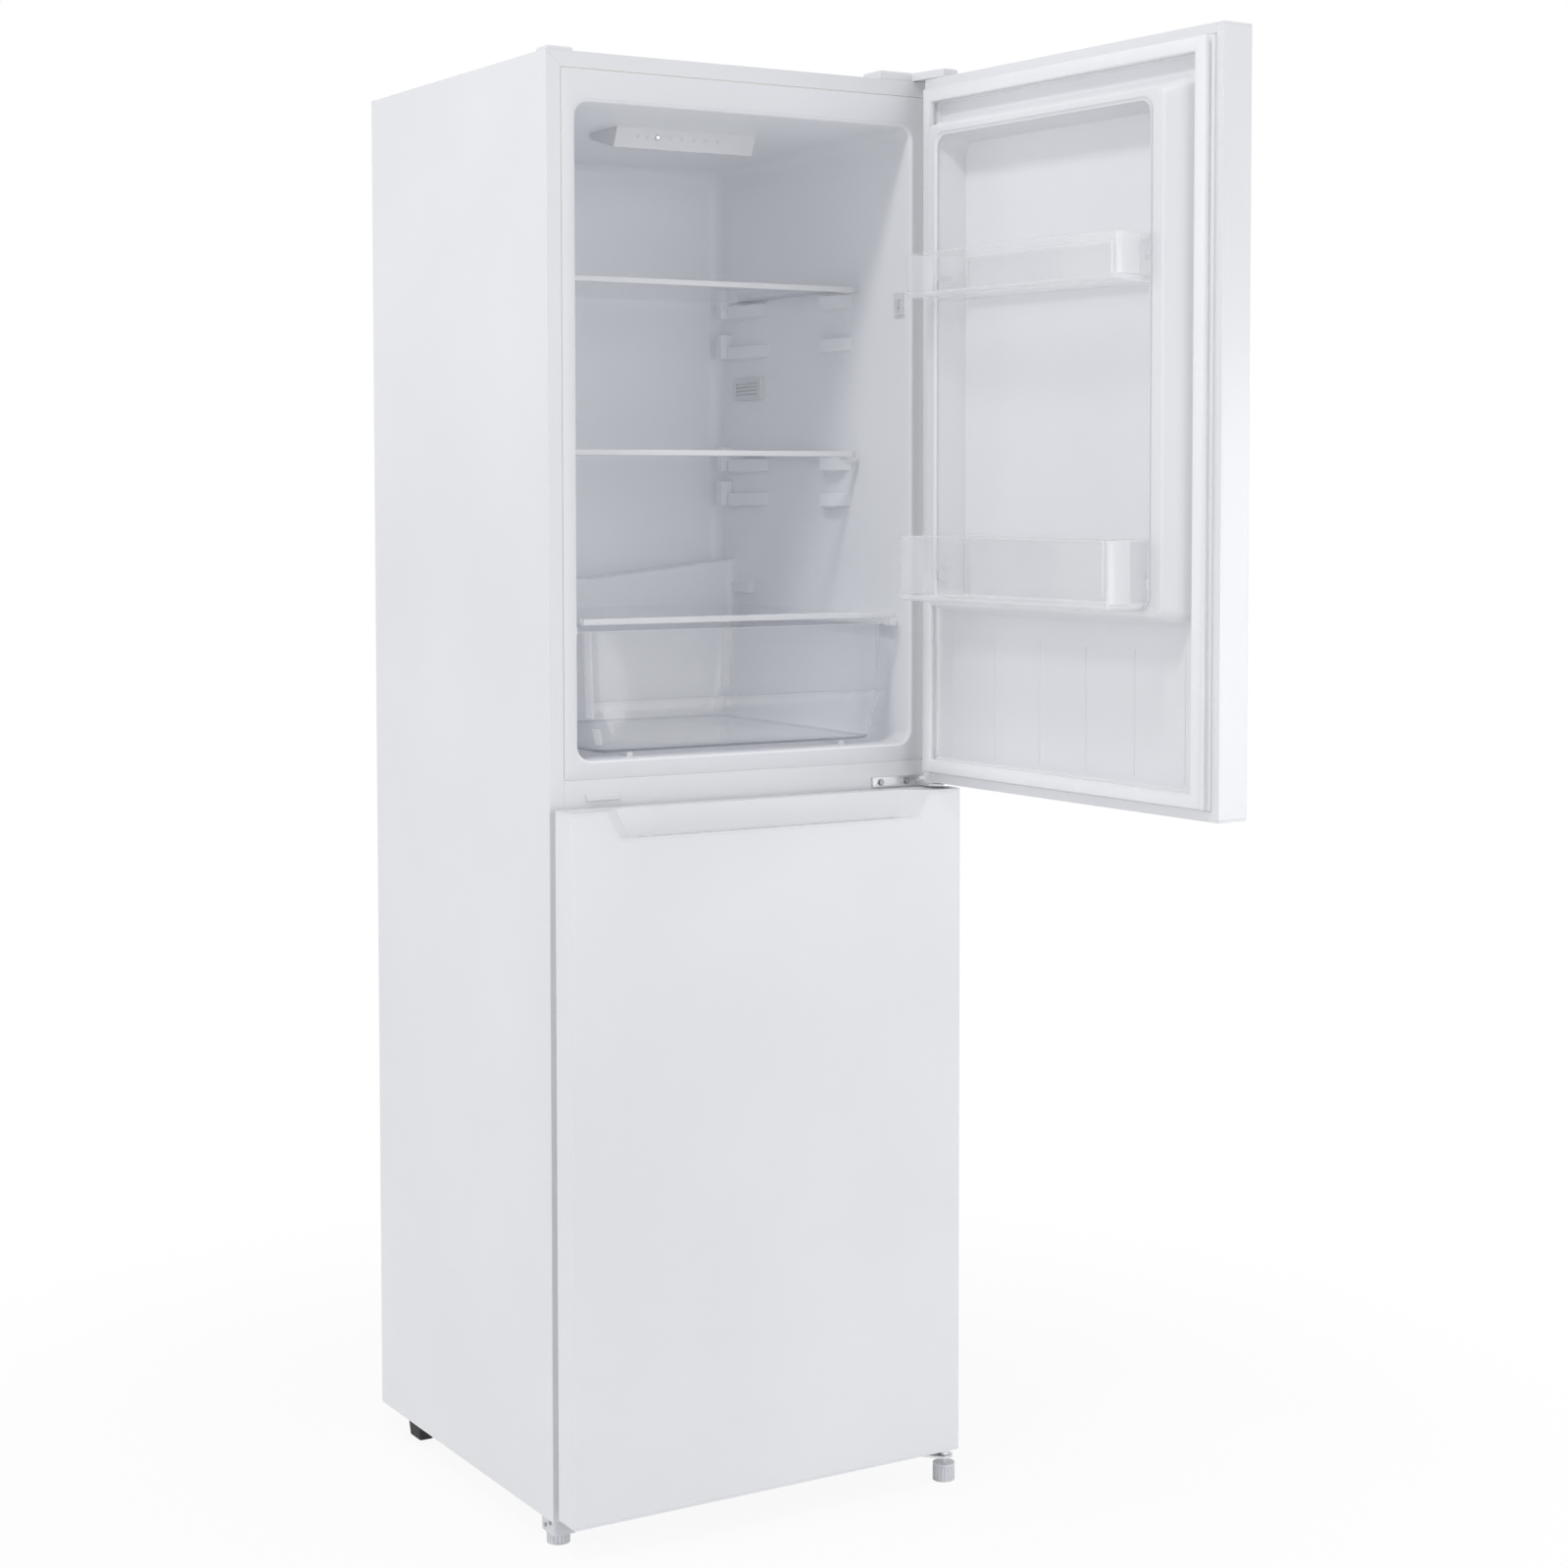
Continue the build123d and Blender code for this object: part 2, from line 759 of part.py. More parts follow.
def switch_parts():
    """Lamp switch let into the right wall by the mouth, and its plunger."""
    tip = cave_front_half - switch_proud - plunger_out
    end = cave_front_half + switch_deep - plunger_travel - 3
    y0 = switch_y - 2
    y1 = y0 + plunger_wide
    reach = plunger_high / 2
    fit = plunger_fit
    slot = span(tip, end + plunger_travel + 0.5, y0 - fit, y1 + fit,
                switch_z - reach - fit, switch_z + reach + fit)
    plunger = span(tip, end, y0, y1, switch_z - reach, switch_z + reach)
    return switch_block - slot, plunger


control_box, control_lens, control_button = control_parts()
switch_body, switch_plunger = switch_parts()
put("control_box", control_box)
put("control_lens", control_lens)
put("control_button", control_button)
put("sensor_cover", sensor_cover())
put("door_switch", switch_body)
put("switch_plunger", switch_plunger)


def shelf_parts(underside):
    """Glass plate in a one-piece clear rim."""
    half = cave_back_half - shelf_side_gap
    y0 = shelf_front_y
    y1 = y0 + shelf_depth
    rim = span(-half, half, y0, y1, underside, underside + shelf_rim_high)
    window = half - shelf_rim_side
    rim -= span(-window, window, y0 + shelf_rim, y1 - shelf_rim, 0, cab_top)
    z_glass = underside + shelf_glass_up
    reach = half - shelf_glass_side
    pane = span(-reach, reach, y0 + shelf_glass_end, y1 - shelf_glass_end, z_glass, z_glass + glass)
    return rim - pane, pane


for name, level in (("shelf_upper", shelf_high_z), ("shelf_lower", shelf_low_z)):
    rim, pane = shelf_parts(level)
    put(name + "_rim", rim)
    put(name + "_glass", pane)


def crisper_cover():
    half = cave_back_half - shelf_side_gap
    pane = span(-half, half, cover_front_y, cover_front_y + cover_depth,
                crisper_cover_z, crisper_cover_z + glass)
    reach = half - cover_trim_side
    trim = span(-reach, reach, cover_front_y - cover_trim, cover_front_y,
                crisper_cover_z - cover_trim_below, crisper_cover_z + glass + cover_trim_above)
    return pane, fillet(trim.edges().filter_by(Axis.X), cover_trim_above)


def crisper_drawer():
    """Clear drawer, narrower in its lower third, with a finger ledge on the front."""
    z0 = fridge_floor + crisper_rib + body_gap
    z1 = crisper_cover_z - crisper_top_gap
    y1 = crisper_y0 + crisper_depth

    def shell(grow, base):
        cuts = []
        for part, half in crisper_steps:
            z = z0 + (z1 - z0) * part + (base if part == 0 else 0)
            cuts.append(flat_section(z, half - grow, crisper_y0 + grow, y1 - grow,
                                     crisper_round - grow))
        return loft(cuts, ruled=True)

    drawer = shell(0, 0) - shell(crisper_wall, crisper_wall)
    ledge_z = z0 + finger_ledge_up * (z1 - z0)
    reach = finger_ledge_half
    ledge_y = crisper_y0 - finger_ledge_out
    ledge = span(-reach, reach, ledge_y, crisper_y0 + 1, ledge_z, ledge_z + 3)
    ledge += span(-reach, reach, ledge_y, ledge_y + crisper_wall, ledge_z - finger_ledge_lip, ledge_z)
    rail = both_sides(crisper_rail_half - 5, crisper_rail_half, crisper_y0 + crisper_round,
                      y1 - crisper_round, z1 - 3, z1)
    return drawer + ledge + rail


cover_pane, cover_trim_strip = crisper_cover()
put("crisper_cover", cover_pane)
put("crisper_cover_trim", cover_trim_strip)
put("crisper_drawer", crisper_drawer())


# ---------------------------------------------------------------- freezer inside
def freezer_drawer(z0, z1, y1):
    """Open drawer with rounded lower edges, a taller hollow front and a grip slot."""
    y0 = bin_y0
    half = cave_back_half - bin_side_gap
    wall = bin_wall
    hollow_y1 = y0 + bin_front_deep
    corner = cave_corner + 4

    def trough(inset, y_start, y_end, top):
        section = front_section(y_start, half - inset, z0 + inset, z1 + 60, corner - inset)
        above = span(-half_cab, half_cab, y_start - 1, y_end + 1, top, z1 + 61)
        return extrude(section, y_start - y_end) - above

    shell = trough(0.0, y0, y1, z1 - bin_front_rise) + trough(0.0, y0, hollow_y1, z1)
    shell -= trough(wall, hollow_y1 + wall, y1 - wall, z1)
    shell -= trough(wall, y0 + wall, hollow_y1, z1 - bin_front_open)
    grip_z1 = z1 - grip_top
    return shell - span(-grip_half, grip_half, y0 - 1, y0 + 10, grip_z1 - grip_high, grip_z1)


def freezer_plates():
    half = cave_back_half - plate_side_gap
    plates = []
    for level in freezer_plate_levels:
        plate = span(-half, half, plate_y0, freezer_back - plate_ledge, level, level + plate_thick)
        plates.append(plate.solids()[0])
    return Compound(children=plates)


put("freezer_plates", freezer_plates())
low_plate, high_plate = freezer_plate_levels
low_bin_y1 = engine_y0 - engine_foam - 10
bin_y1 = freezer_back - bin_rear_gap
put("freezer_drawer_bottom", freezer_drawer(freezer_floor, low_plate - bin_top_gap, low_bin_y1))
put("freezer_drawer_middle",
    freezer_drawer(low_plate + plate_thick, high_plate - bin_top_gap, bin_y1))
put("freezer_drawer_top",
    freezer_drawer(high_plate + plate_thick, freezer_ceiling - bin_roof_gap, bin_y1))


# ---------------------------------------------------------------- doors
def door_profile(shrink):
    """Plan outline of a shut door, rounded on its two outer edges."""
    half = half_cab - shrink
    shape = Pos(0, (door_in + door_out) / 2) * Rectangle(2 * half, door_thick - 2 * shrink)
    corners = shape.vertices().group_by(Axis.Y)[0]
    return fillet(corners, max(door_edge_round - shrink, 0.5))


def scoop(edge, into, grow):
    """Finger scoop cut in from a door's edge; into is -1 at a top edge, +1 at a bottom one."""
    far = edge + into * (scoop_high + grow)
    start = edge - into * 2
    top = scoop_top_half + grow + 2 * (scoop_top_half - scoop_low_half) / scoop_high
    front = [(-top, start), (top, start), (scoop_low_half + grow, far), (-scoop_low_half - grow, far)]
    back = []
    for x, z in front:
        back.append((x - scoop_side_slope if x > 0 else x + scoop_side_slope, z))
    y_back = door_out + scoop_deep + grow
    cuts = [Plane.XZ.offset(-door_out + 1) * face_of(front), Plane.XZ.offset(-y_back) * face_of(back)]
    shape = loft(cuts, ruled=True)
    reach = scoop_low_half - scoop_side_slope - 4 + grow
    y0 = door_out + scoop_lip - grow
    tip = far + into * scoop_groove_deep
    groove = span(-reach, reach, y0, y0 + scoop_groove + 2 * grow,
                  min(far, tip) - 0.01, max(far, tip) + 0.01)
    return shape + groove


def door_cap(edge, into, with_scoop):
    """End cap of a door: plate, inner rim strip, hinge bush and, if asked, the scoop."""
    inner = edge + into * cap_thick
    low, high = sorted((edge, inner))
    cap = extrude(Plane.XY.offset(low) * door_profile(0), cap_thick)
    rim_end = edge + into * door_rim
    low, high = sorted((inner, rim_end))
    cap += span(-rim_half, rim_half, door_in - liner_wall, door_in, low, high)
    bush_end = edge + into * (pin_length + 8)
    low, high = sorted((inner, bush_end))
    cap += rod(pivot_x, pivot_y, low, high, pin_radius + 4)
    if with_scoop:
        envelope = door_profile(0)
        z0 = min(edge, edge + into * 80)
        cap += scoop(edge, into, scoop_wall) & extrude(Plane.XY.offset(z0) * envelope, 80)
        cap -= scoop(edge, into, 0.0)
    far = edge + into * (pin_length + 2)
    low, high = sorted((edge - into, far))
    return cap - rod(pivot_x, pivot_y, low, high, pin_radius + pin_fit)


def door_skin(z0, z1, scoop_edge, into):
    """Folded outer sheet: front, two sides and the narrow inner returns."""
    sheet_face = door_profile(0) - door_profile(sheet)
    sheet_face -= Pos(0, door_in) * Rectangle(2 * rim_half, 4 * sheet)
    skin = extrude(Plane.XY.offset(z0 + cap_thick) * sheet_face, z1 - z0 - 2 * cap_thick)
    return skin - scoop(scoop_edge, into, scoop_wall)


def frustum(y0, y1, base, crest, corner):
    """Solid between two rounded rectangles; each is half width, z0, z1."""
    return loft([front_section(y0, *base, corner), front_section(y1, *crest, corner)])


def dike_ring(inset, y_base):
    """Raised frame round the racks; inset gives the foam core inside its skin."""
    crest_y = door_in + dike_high - inset
    base = (dike_base_half - inset, dike_z0 + inset, dike_z1 - inset)
    crest = (dike_crest_half - inset, dike_z0 + dike_foot + inset, dike_z1 - dike_slope - inset)
    hole_z0 = dike_z0 + dike_foot_wide - inset
    hole_base = (pocket_base_half + inset, hole_z0, dike_z1 - dike_top_wide + inset)
    hole_z1 = dike_z1 - dike_top_wide + inset
    hole_crest = (pocket_crest_half + inset, hole_z0, hole_z1 + pocket_slope)
    ring = frustum(y_base, crest_y, base, crest, dike_round)
    return ring - frustum(y_base, crest_y, hole_base, hole_crest, dike_round)


def rack_lugs(z, rear_y):
    """Small bosses on the dike's inner walls that carry a rack's hooks."""
    y0 = rear_y + lug_start
    return both_sides(lug_inner, pocket_crest_half + 1, y0, y0 + lug_long, z - lug_high, z)


def rack_hook_z(z, high):
    return z + high * 0.45


def door_liner_plate(z0, z1):
    return span(-rim_half, rim_half, door_in - liner_wall, door_in,
                z0 + door_rim, z1 - door_rim)


def fridge_door_liner():
    liner = door_liner_plate(up_door_z0, up_door_z1) + dike_ring(0.0, door_in)
    liner -= dike_ring(liner_wall, door_in - liner_wall)
    for z, high in ((low_rack_z, low_rack_high), (high_rack_z, high_rack_high)):
        liner += rack_lugs(rack_hook_z(z, high) - body_gap, rack_rear_y)
    z0 = up_door_z0 + 40
    for k in range(panel_rib_count):
        x = (k - (panel_rib_count - 1) / 2) * panel_rib_space
        liner += span(x - panel_rib_half, x + panel_rib_half, door_in, door_in + panel_rib_high,
                      z0, z0 + panel_rib_long)
    return liner


def plug(inset, y_base):
    z0 = freezer_floor + plug_margin
    z1 = freezer_ceiling - plug_margin
    base = (plug_half - inset, z0 + inset, z1 - inset)
    crest = (plug_half - plug_slope - inset, z0 + plug_slope + inset, z1 - plug_slope - inset)
    return frustum(y_base, door_in + plug_high - inset, base, crest, dike_round)


def freezer_door_liner():
    liner = door_liner_plate(low_door_z0, low_door_z1) + plug(0.0, door_in)
    return liner - plug(liner_wall, door_in - liner_wall)


def door_foam(z0, z1, core, liner, caps):
    block = extrude(Plane.XY.offset(z0 + cap_thick) * door_profile(sheet),
                    z1 - z0 - 2 * cap_thick)
    foam = block - span(-half_cab, half_cab, door_in - liner_wall, 0, z0, z1) + core
    for solid in [liner] + caps:
        foam -= solid
    for edge, into in ((z0, 1), (z1, -1)):
        foam -= rod(pivot_x, pivot_y, min(edge, edge + into * (pin_length + 8)),
                    max(edge, edge + into * (pin_length + 8)), pin_radius + 4)
    return foam


def seal_frame(z0, z1, middle_wide, y0, y1, wide):
    """One layer of the seal: a frame centred on the seal's middle line."""
    out = seal_outer - (middle_wide - wide) / 2
    edge = door_rim + 1.0 + (middle_wide - wide) / 2
    frame = span(-out, out, y0, y1, z0 + edge, z1 - edge)
    return frame - span(-out + wide, out - wide, y0 - 1, y1 + 1, z0 + edge + wide, z1 - edge - wide)


def door_seal(z0, z1):
    y0 = door_in
    y1 = y0 + seal_base
    y2 = y1 + seal_neck
    seal = seal_frame(z0, z1, seal_wide, y0, y1, seal_wide)
    seal += seal_frame(z0, z1, seal_wide, y1, y2, seal_neck_wide)
    return seal + seal_frame(z0, z1, seal_wide, y2, -body_gap, seal_bulb_wide)


def scoop_free(foam, edge, into):
    return foam - scoop(edge, into, scoop_wall)


def make_door(prefix, z0, z1, liner, core, scoop_edge, into, place):
    top = door_cap(z1, -1, into < 0)
    bottom = door_cap(z0, 1, into > 0)
    foam = door_foam(z0, z1, core, liner, [top, bottom])
    foam = scoop_free(foam, scoop_edge, into)
    put(prefix + "_skin", place(door_skin(z0, z1, scoop_edge, into)))
    put(prefix + "_foam", place(foam))
    put(prefix + "_liner", place(liner))
    put(prefix + "_seal", place(door_seal(z0, z1)))
    put(prefix + "_cap_top", place(top))
    put(prefix + "_cap_bottom", place(bottom))


make_door("fridge_door", up_door_z0, up_door_z1, fridge_door_liner(),
          dike_ring(liner_wall, door_in - liner_wall), up_door_z0, 1, open_door)
make_door("freezer_door", low_door_z0, low_door_z1, freezer_door_liner(),
          plug(liner_wall, door_in - liner_wall), low_door_z1, -1, lambda shape: shape)


def rack(z, high, out):
    """Clear open-topped rack with side hooks that stand on the door's lugs."""
    y0 = rack_rear_y
    y1 = y0 + out

    def outline(grow):
        return [(-rack_rear_half + grow, y0 + grow), (rack_rear_half - grow, y0 + grow),
                (rack_front_half - grow, y1 - grow), (-rack_front_half + grow, y1 - grow)]

    def tub(grow, top):
        block = prism_z(outline(grow), z + grow, top)
        fronts = block.edges().filter_by(Axis.Z).group_by(Axis.Y)[-1]
        block = fillet(fronts, rack_round - grow)
        return fillet(block.edges().group_by(Axis.Z)[0], rack_round - 1 - grow)

    body = tub(0.0, z + high) - tub(rack_wall, z + high + 1)
    hook_z = rack_hook_z(z, high)
    slope = (rack_front_half - rack_rear_half) / out
    inside = rack_rear_half + slope * lug_start - 1.0
    return body + both_sides(inside, hook_outer, y0 + lug_start + 1, y0 + lug_start + lug_long - 1,
                             hook_z, hook_z + 5)


put("rack_upper", open_door(rack(high_rack_z, high_rack_high, high_rack_out)))
put("rack_lower", open_door(rack(low_rack_z, low_rack_high, low_rack_out)))


# ---------------------------------------------------------------- compressor space
def compressor_rail():
    y0 = comp_rail_y0
    z0 = cab_bottom + sheet
    y1 = y0 + comp_rail_long
    thick = comp_rail_sheet
    rail = span(-inner_half, inner_half, y0, y1, z0, z0 + thick)
    rail += span(-inner_half, inner_half, y0, y0 + thick, z0, z0 + comp_rail_lip)
    rail += span(-inner_half, inner_half, y1 - thick, y1, z0, z0 + comp_rail_lip)
    return rail


rail_face = cab_bottom + sheet + comp_rail_sheet
grommet_high = 9.0
comp_foot_z = rail_face + grommet_high
comp_body_z = comp_foot_z + 2.5
comp_top = comp_body_z + comp_high
comp_feet = [(comp_x + sx * 78, comp_y + sy * 44) for sx in (-1, 1) for sy in (-1, 1)]


def grommets():
    group = []
    for x, y in comp_feet:
        group.append((rod(x, y, rail_face, comp_foot_z, 9)).solids()[0])
    return Compound(children=group)


def compressor():
    """Welded can on a foot plate, with its pipe stubs."""
    plate = span(comp_x - comp_plate_half_x, comp_x + comp_plate_half_x, comp_y - comp_plate_half_y,
                 comp_y + comp_plate_half_y, comp_foot_z, comp_body_z)
    can = rod(comp_x, comp_y, comp_body_z, comp_top, comp_radius)
    can = fillet(can.edges().group_by(Axis.Z)[-1], 30)
    seam_z = comp_body_z + comp_high * 0.55
    seam = rod(comp_x, comp_y, seam_z, seam_z + 6, comp_radius + 3)
    return plate + can + seam


def relay_cover():
    """Electrical box on the can's left side."""
    x1 = comp_x - comp_radius + 8
    z0 = comp_body_z + 14
    box = span(x1 - relay_deep, x1, comp_y - relay_half, comp_y + relay_half, z0, z0 + relay_high)
    box = fillet(box.edges().filter_by(Axis.Z), 5)
    return box - rod(comp_x, comp_y, 0, cab_top, comp_radius)


def evaporation_tray():
    """Melt water tray on top of the can, with a chute out to the drain's end."""
    y = comp_y - 8
    x0 = comp_x - tray_half_x
    x1 = comp_x + tray_half_x
    wall = tray_wall
    rim_z = comp_top + tray_high
    above = rim_z + 8
    tray = span(x0, x1, y - tray_half_y, y + tray_half_y, comp_top, rim_z)
    tray = fillet(tray.edges().filter_by(Axis.Z), 10)
    hollow = span(x0 + wall, x1 - wall, y - tray_half_y + wall, y + tray_half_y - wall,
                  comp_top + wall, above)
    tray -= fillet(hollow.edges().filter_by(Axis.Z), 8)
    chute_z = rim_z - chute_high
    inside = chute_half - wall
    chute = span(chute_start, x0 + 1, drain_y - chute_half, drain_y + chute_half, chute_z, rim_z)
    chute -= span(chute_start + wall, x0 + 2 * wall, drain_y - inside, drain_y + inside,
                  chute_z + wall, above)
    return tray + chute


def pipe(points, radius):
    line = Polyline(*points)
    bends = line.vertices()[1:-1]
    path = fillet(bends, 12) if bends else line
    section = Plane(origin=path @ 0, z_dir=path % 0) * Circle(radius)
    return sweep(section, path=path)


drier_x = -120.0
drier_y = cab_depth - 60.0
drier_z0 = rail_face + 60


def filter_drier():
    body = rod(drier_x, drier_y, drier_z0, drier_z0 + drier_long, drier_radius)
    return chamfer(body.edges(), 3)


def refrigerant_pipes():
    """Discharge, suction and process lines between the can, the drier and the roof."""
    can_z = comp_body_z + 40
    roof = engine_top - sheet
    right = comp_x + comp_radius - 0.5
    suction = pipe([(right, comp_y, can_z), (right + 40, comp_y, can_z),
                    (right + 40, comp_y, roof)], 3.2)
    back = comp_y + comp_radius - 0.5
    charge = pipe([(comp_x, back, can_z), (comp_x, back + 22, can_z),
                   (comp_x, back + 22, can_z + 60)], 3.0)
    drier_top = drier_z0 + drier_long
    liquid = pipe([(drier_x, drier_y, drier_top), (drier_x, drier_y, roof)], 2.5)
    feed = pipe([(drier_x, drier_y, drier_z0), (drier_x, drier_y, rail_face + 25),
                 (drier_x + 60, drier_y, rail_face + 25), (drier_x + 60, drier_y, roof)], 2.5)
    can = rod(comp_x, comp_y, comp_body_z, comp_top, comp_radius)
    lines = [suction - can, charge - can, liquid, feed]
    return Compound(children=[item.solids()[0] for item in lines])


def power_gland():
    """Cord entry bush in the rail's rear lip, left empty."""
    y1 = comp_rail_y0 + comp_rail_long
    z0 = rail_face
    face = y1 - comp_rail_sheet
    gland = span(gland_x - gland_half, gland_x + gland_half, y1 - 16, face, z0, z0 + 24)
    gland += rod_y(gland_x, z0 + gland_up, face, y1 + 6, gland_radius)
    gland -= rod_y(gland_x, z0 + gland_up, y1 - 20, y1 + 10, gland_bore)
    return gland


gland_hole = rod_y(gland_x, rail_face + gland_up, comp_rail_y0 + 100, cab_depth, gland_radius)
put("compressor_rail", compressor_rail() - gland_hole)
put("compressor_grommets", grommets())
put("compressor", compressor())
put("relay_cover", relay_cover())
put("evaporation_tray", evaporation_tray())
put("refrigerant_pipes", refrigerant_pipes())
put("filter_drier", filter_drier())
put("power_gland", power_gland())
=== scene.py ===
import bpy
import bmesh
import json
import math
from mathutils import Matrix, Vector


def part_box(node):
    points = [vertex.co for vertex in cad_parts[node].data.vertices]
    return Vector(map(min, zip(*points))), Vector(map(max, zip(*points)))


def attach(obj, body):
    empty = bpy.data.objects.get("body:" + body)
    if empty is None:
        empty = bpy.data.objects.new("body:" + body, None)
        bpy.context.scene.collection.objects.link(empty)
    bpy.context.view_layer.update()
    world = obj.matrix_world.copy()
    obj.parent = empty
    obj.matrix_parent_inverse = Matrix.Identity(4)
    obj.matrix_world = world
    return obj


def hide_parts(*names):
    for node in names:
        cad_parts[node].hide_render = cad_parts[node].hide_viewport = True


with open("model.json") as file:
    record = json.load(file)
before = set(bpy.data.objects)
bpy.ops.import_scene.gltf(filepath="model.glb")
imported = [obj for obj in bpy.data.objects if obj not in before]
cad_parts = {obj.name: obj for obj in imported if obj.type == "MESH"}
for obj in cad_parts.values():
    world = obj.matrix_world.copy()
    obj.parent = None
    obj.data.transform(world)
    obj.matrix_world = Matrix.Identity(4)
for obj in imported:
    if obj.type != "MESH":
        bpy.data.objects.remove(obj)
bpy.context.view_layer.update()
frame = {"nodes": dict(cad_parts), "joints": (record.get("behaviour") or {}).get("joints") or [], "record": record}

# Lengths below are in mm, seen from the front with the doors shut:
# x to the right, y back from the cabinet's front face, z up from the floor.
mm = 0.001
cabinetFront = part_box("side_panel_left")[0].y / mm
doorJoint = next(j for j in frame["joints"] if j["name"] == "fridge_door_hinge")
pivot = Vector(doorJoint["pos_m"])
restOpen = -math.radians(doorJoint["range_deg"][0])
toRoom = Matrix.Translation((0, cabinetFront * mm, 0)) @ Matrix.Scale(mm, 4)
swing = Matrix.Translation(pivot) @ Matrix.Rotation(restOpen, 4, "Z") @ Matrix.Translation(-pivot)
bodies = frame["record"]["behaviour"]["bodies"]
fridgeDoorNodes = set(bodies["fridge_door"]) | {"rack_upper", "rack_lower"}


def nodeBox(node):
    # a CAD node's corners in the mm of this script, its door shut
    back = toRoom.inverted() @ (swing.inverted() if node in fridgeDoorNodes else Matrix())
    spots = [back @ v.co for v in frame["nodes"][node].data.vertices]
    low = Vector([min(s[k] for s in spots) for k in range(3)])
    high = Vector([max(s[k] for s in spots) for k in range(3)])
    return low, high


# ---- finishes

class Amount:
    # a number that comes out of a shader node, so that sums read as sums
    def __init__(self, finish, socket):
        self.finish, self.socket = finish, socket

    def sum(self, operation, *others):
        inputs = {k: v for k, v in enumerate((self, *others))}
        return self.finish.add("ShaderNodeMath", {"operation": operation}, inputs).out()

    def __add__(self, other):
        return self.sum("ADD", other)

    __radd__ = __add__

    def __mul__(self, other):
        return self.sum("MULTIPLY", other)

    def least(self, other):
        return self.sum("MINIMUM", other)

    def most(self, other):
        return self.sum("MAXIMUM", other)

    def power(self, other):
        return self.sum("POWER", other)

    def between(self, low, high, toLow=0.0, toHigh=1.0):
        # a smooth step from low to high
        settings = {"interpolation_type": "SMOOTHSTEP"}
        inputs = {"Value": self, "From Min": low, "From Max": high, "To Min": toLow,
                  "To Max": toHigh}
        return self.finish.add("ShaderNodeMapRange", settings, inputs).out("Result")


class Placed:
    # a node in its tree; out gives one of its outputs
    def __init__(self, finish, node):
        self.finish, self.node = finish, node

    def out(self, name=0):
        return Amount(self.finish, self.node.outputs[name])


class Finish:
    # the nodes of one material, or of the world when that is handed in
    def __init__(self, name, world=None):
        self.owner = world or bpy.data.materials.new(name)
        self.owner.use_nodes = True
        self.tree = self.owner.node_tree
        self.tree.nodes.clear()
        kind = "ShaderNodeOutputWorld" if world else "ShaderNodeOutputMaterial"
        self.output = self.tree.nodes.new(kind)

    def add(self, kind, settings=None, inputs=None):
        node = self.tree.nodes.new(kind)
        for key, value in (settings or {}).items():
            setattr(node, key, value)
        for key, value in (inputs or {}).items():
            if isinstance(value, Amount):
                self.tree.links.new(value.socket, node.inputs[key])
            else:
                node.inputs[key].default_value = value
        return Placed(self, node)

    def place(self):
        return self.add("ShaderNodeTexCoord").out("Object")

    def noise(self, scale, detail, rough=0.5, stretch=(1, 1, 1)):
        at = self.add("ShaderNodeMapping", None, {"Vector": self.place(), "Scale": stretch}).out()
        inputs = {"Vector": at, "Scale": scale, "Detail": detail, "Roughness": rough}
        return self.add("ShaderNodeTexNoise", {"normalize": True}, inputs).out(0)

    def cells(self, scale):
        inputs = {"Vector": self.place(), "Scale": scale}
        return self.add("ShaderNodeTexVoronoi", None, inputs).out("Distance")

    def blend(self, amount, first, second):
        inputs = {0: amount, 6: first, 7: second}
        return self.add("ShaderNodeMix", {"data_type": "RGBA"}, inputs).out(2)

    def bump(self, height, depth, strength):
        inputs = {"Height": height, "Distance": depth, "Strength": strength}
        return self.add("ShaderNodeBump", None, inputs).out()

    def seenRay(self):
        # 1 for what is looked at straight, in a glint or through a clear wall
        path = self.add("ShaderNodeLightPath")
        glossy, through = path.out("Is Glossy Ray"), path.out("Is Transmission Ray")
        return path.out("Is Camera Ray").most(glossy).most(through)

    def mix(self, share, first, second):
        return self.add("ShaderNodeMixShader", None, {0: share, 1: first, 2: second}).out()

    def coat(self, **inputs):
        named = {key.replace("_", " "): value for key, value in inputs.items()}
        return self.add("ShaderNodeBsdfPrincipled", None, named).out()

    def show(self, shader):
        self.tree.links.new(shader.socket, self.output.inputs["Surface"])
        return self.owner


def rgba(r, g, b):
    return (r, g, b, 1.0)


def scaled(colour, amount):
    return rgba(*(c * amount for c in colour))


# noise sizes count waves in a metre, bump depths are in metres
evenSpan, highSpan = (0.3, 0.7), (0.3, 0.8)  # the values between which a noise does its work
paintLook = {"colour": (0.80, 0.805, 0.82), "roughness": 0.30, "peel": 0.00006, "peelSize": 420,
             "peelStrength": 0.55, "coarser": 3.5, "fineShare": 0.6, "cloudSize": 2.2,
             "cloudTint": 0.955, "smearSize": 9.0, "smearStretch": (1, 1, 0.25),
             "smearSpan": (0.35, 0.75), "smear": 0.09, "ior": 1.5, "coat": 0.25,
             "coatRoughness": 0.18}


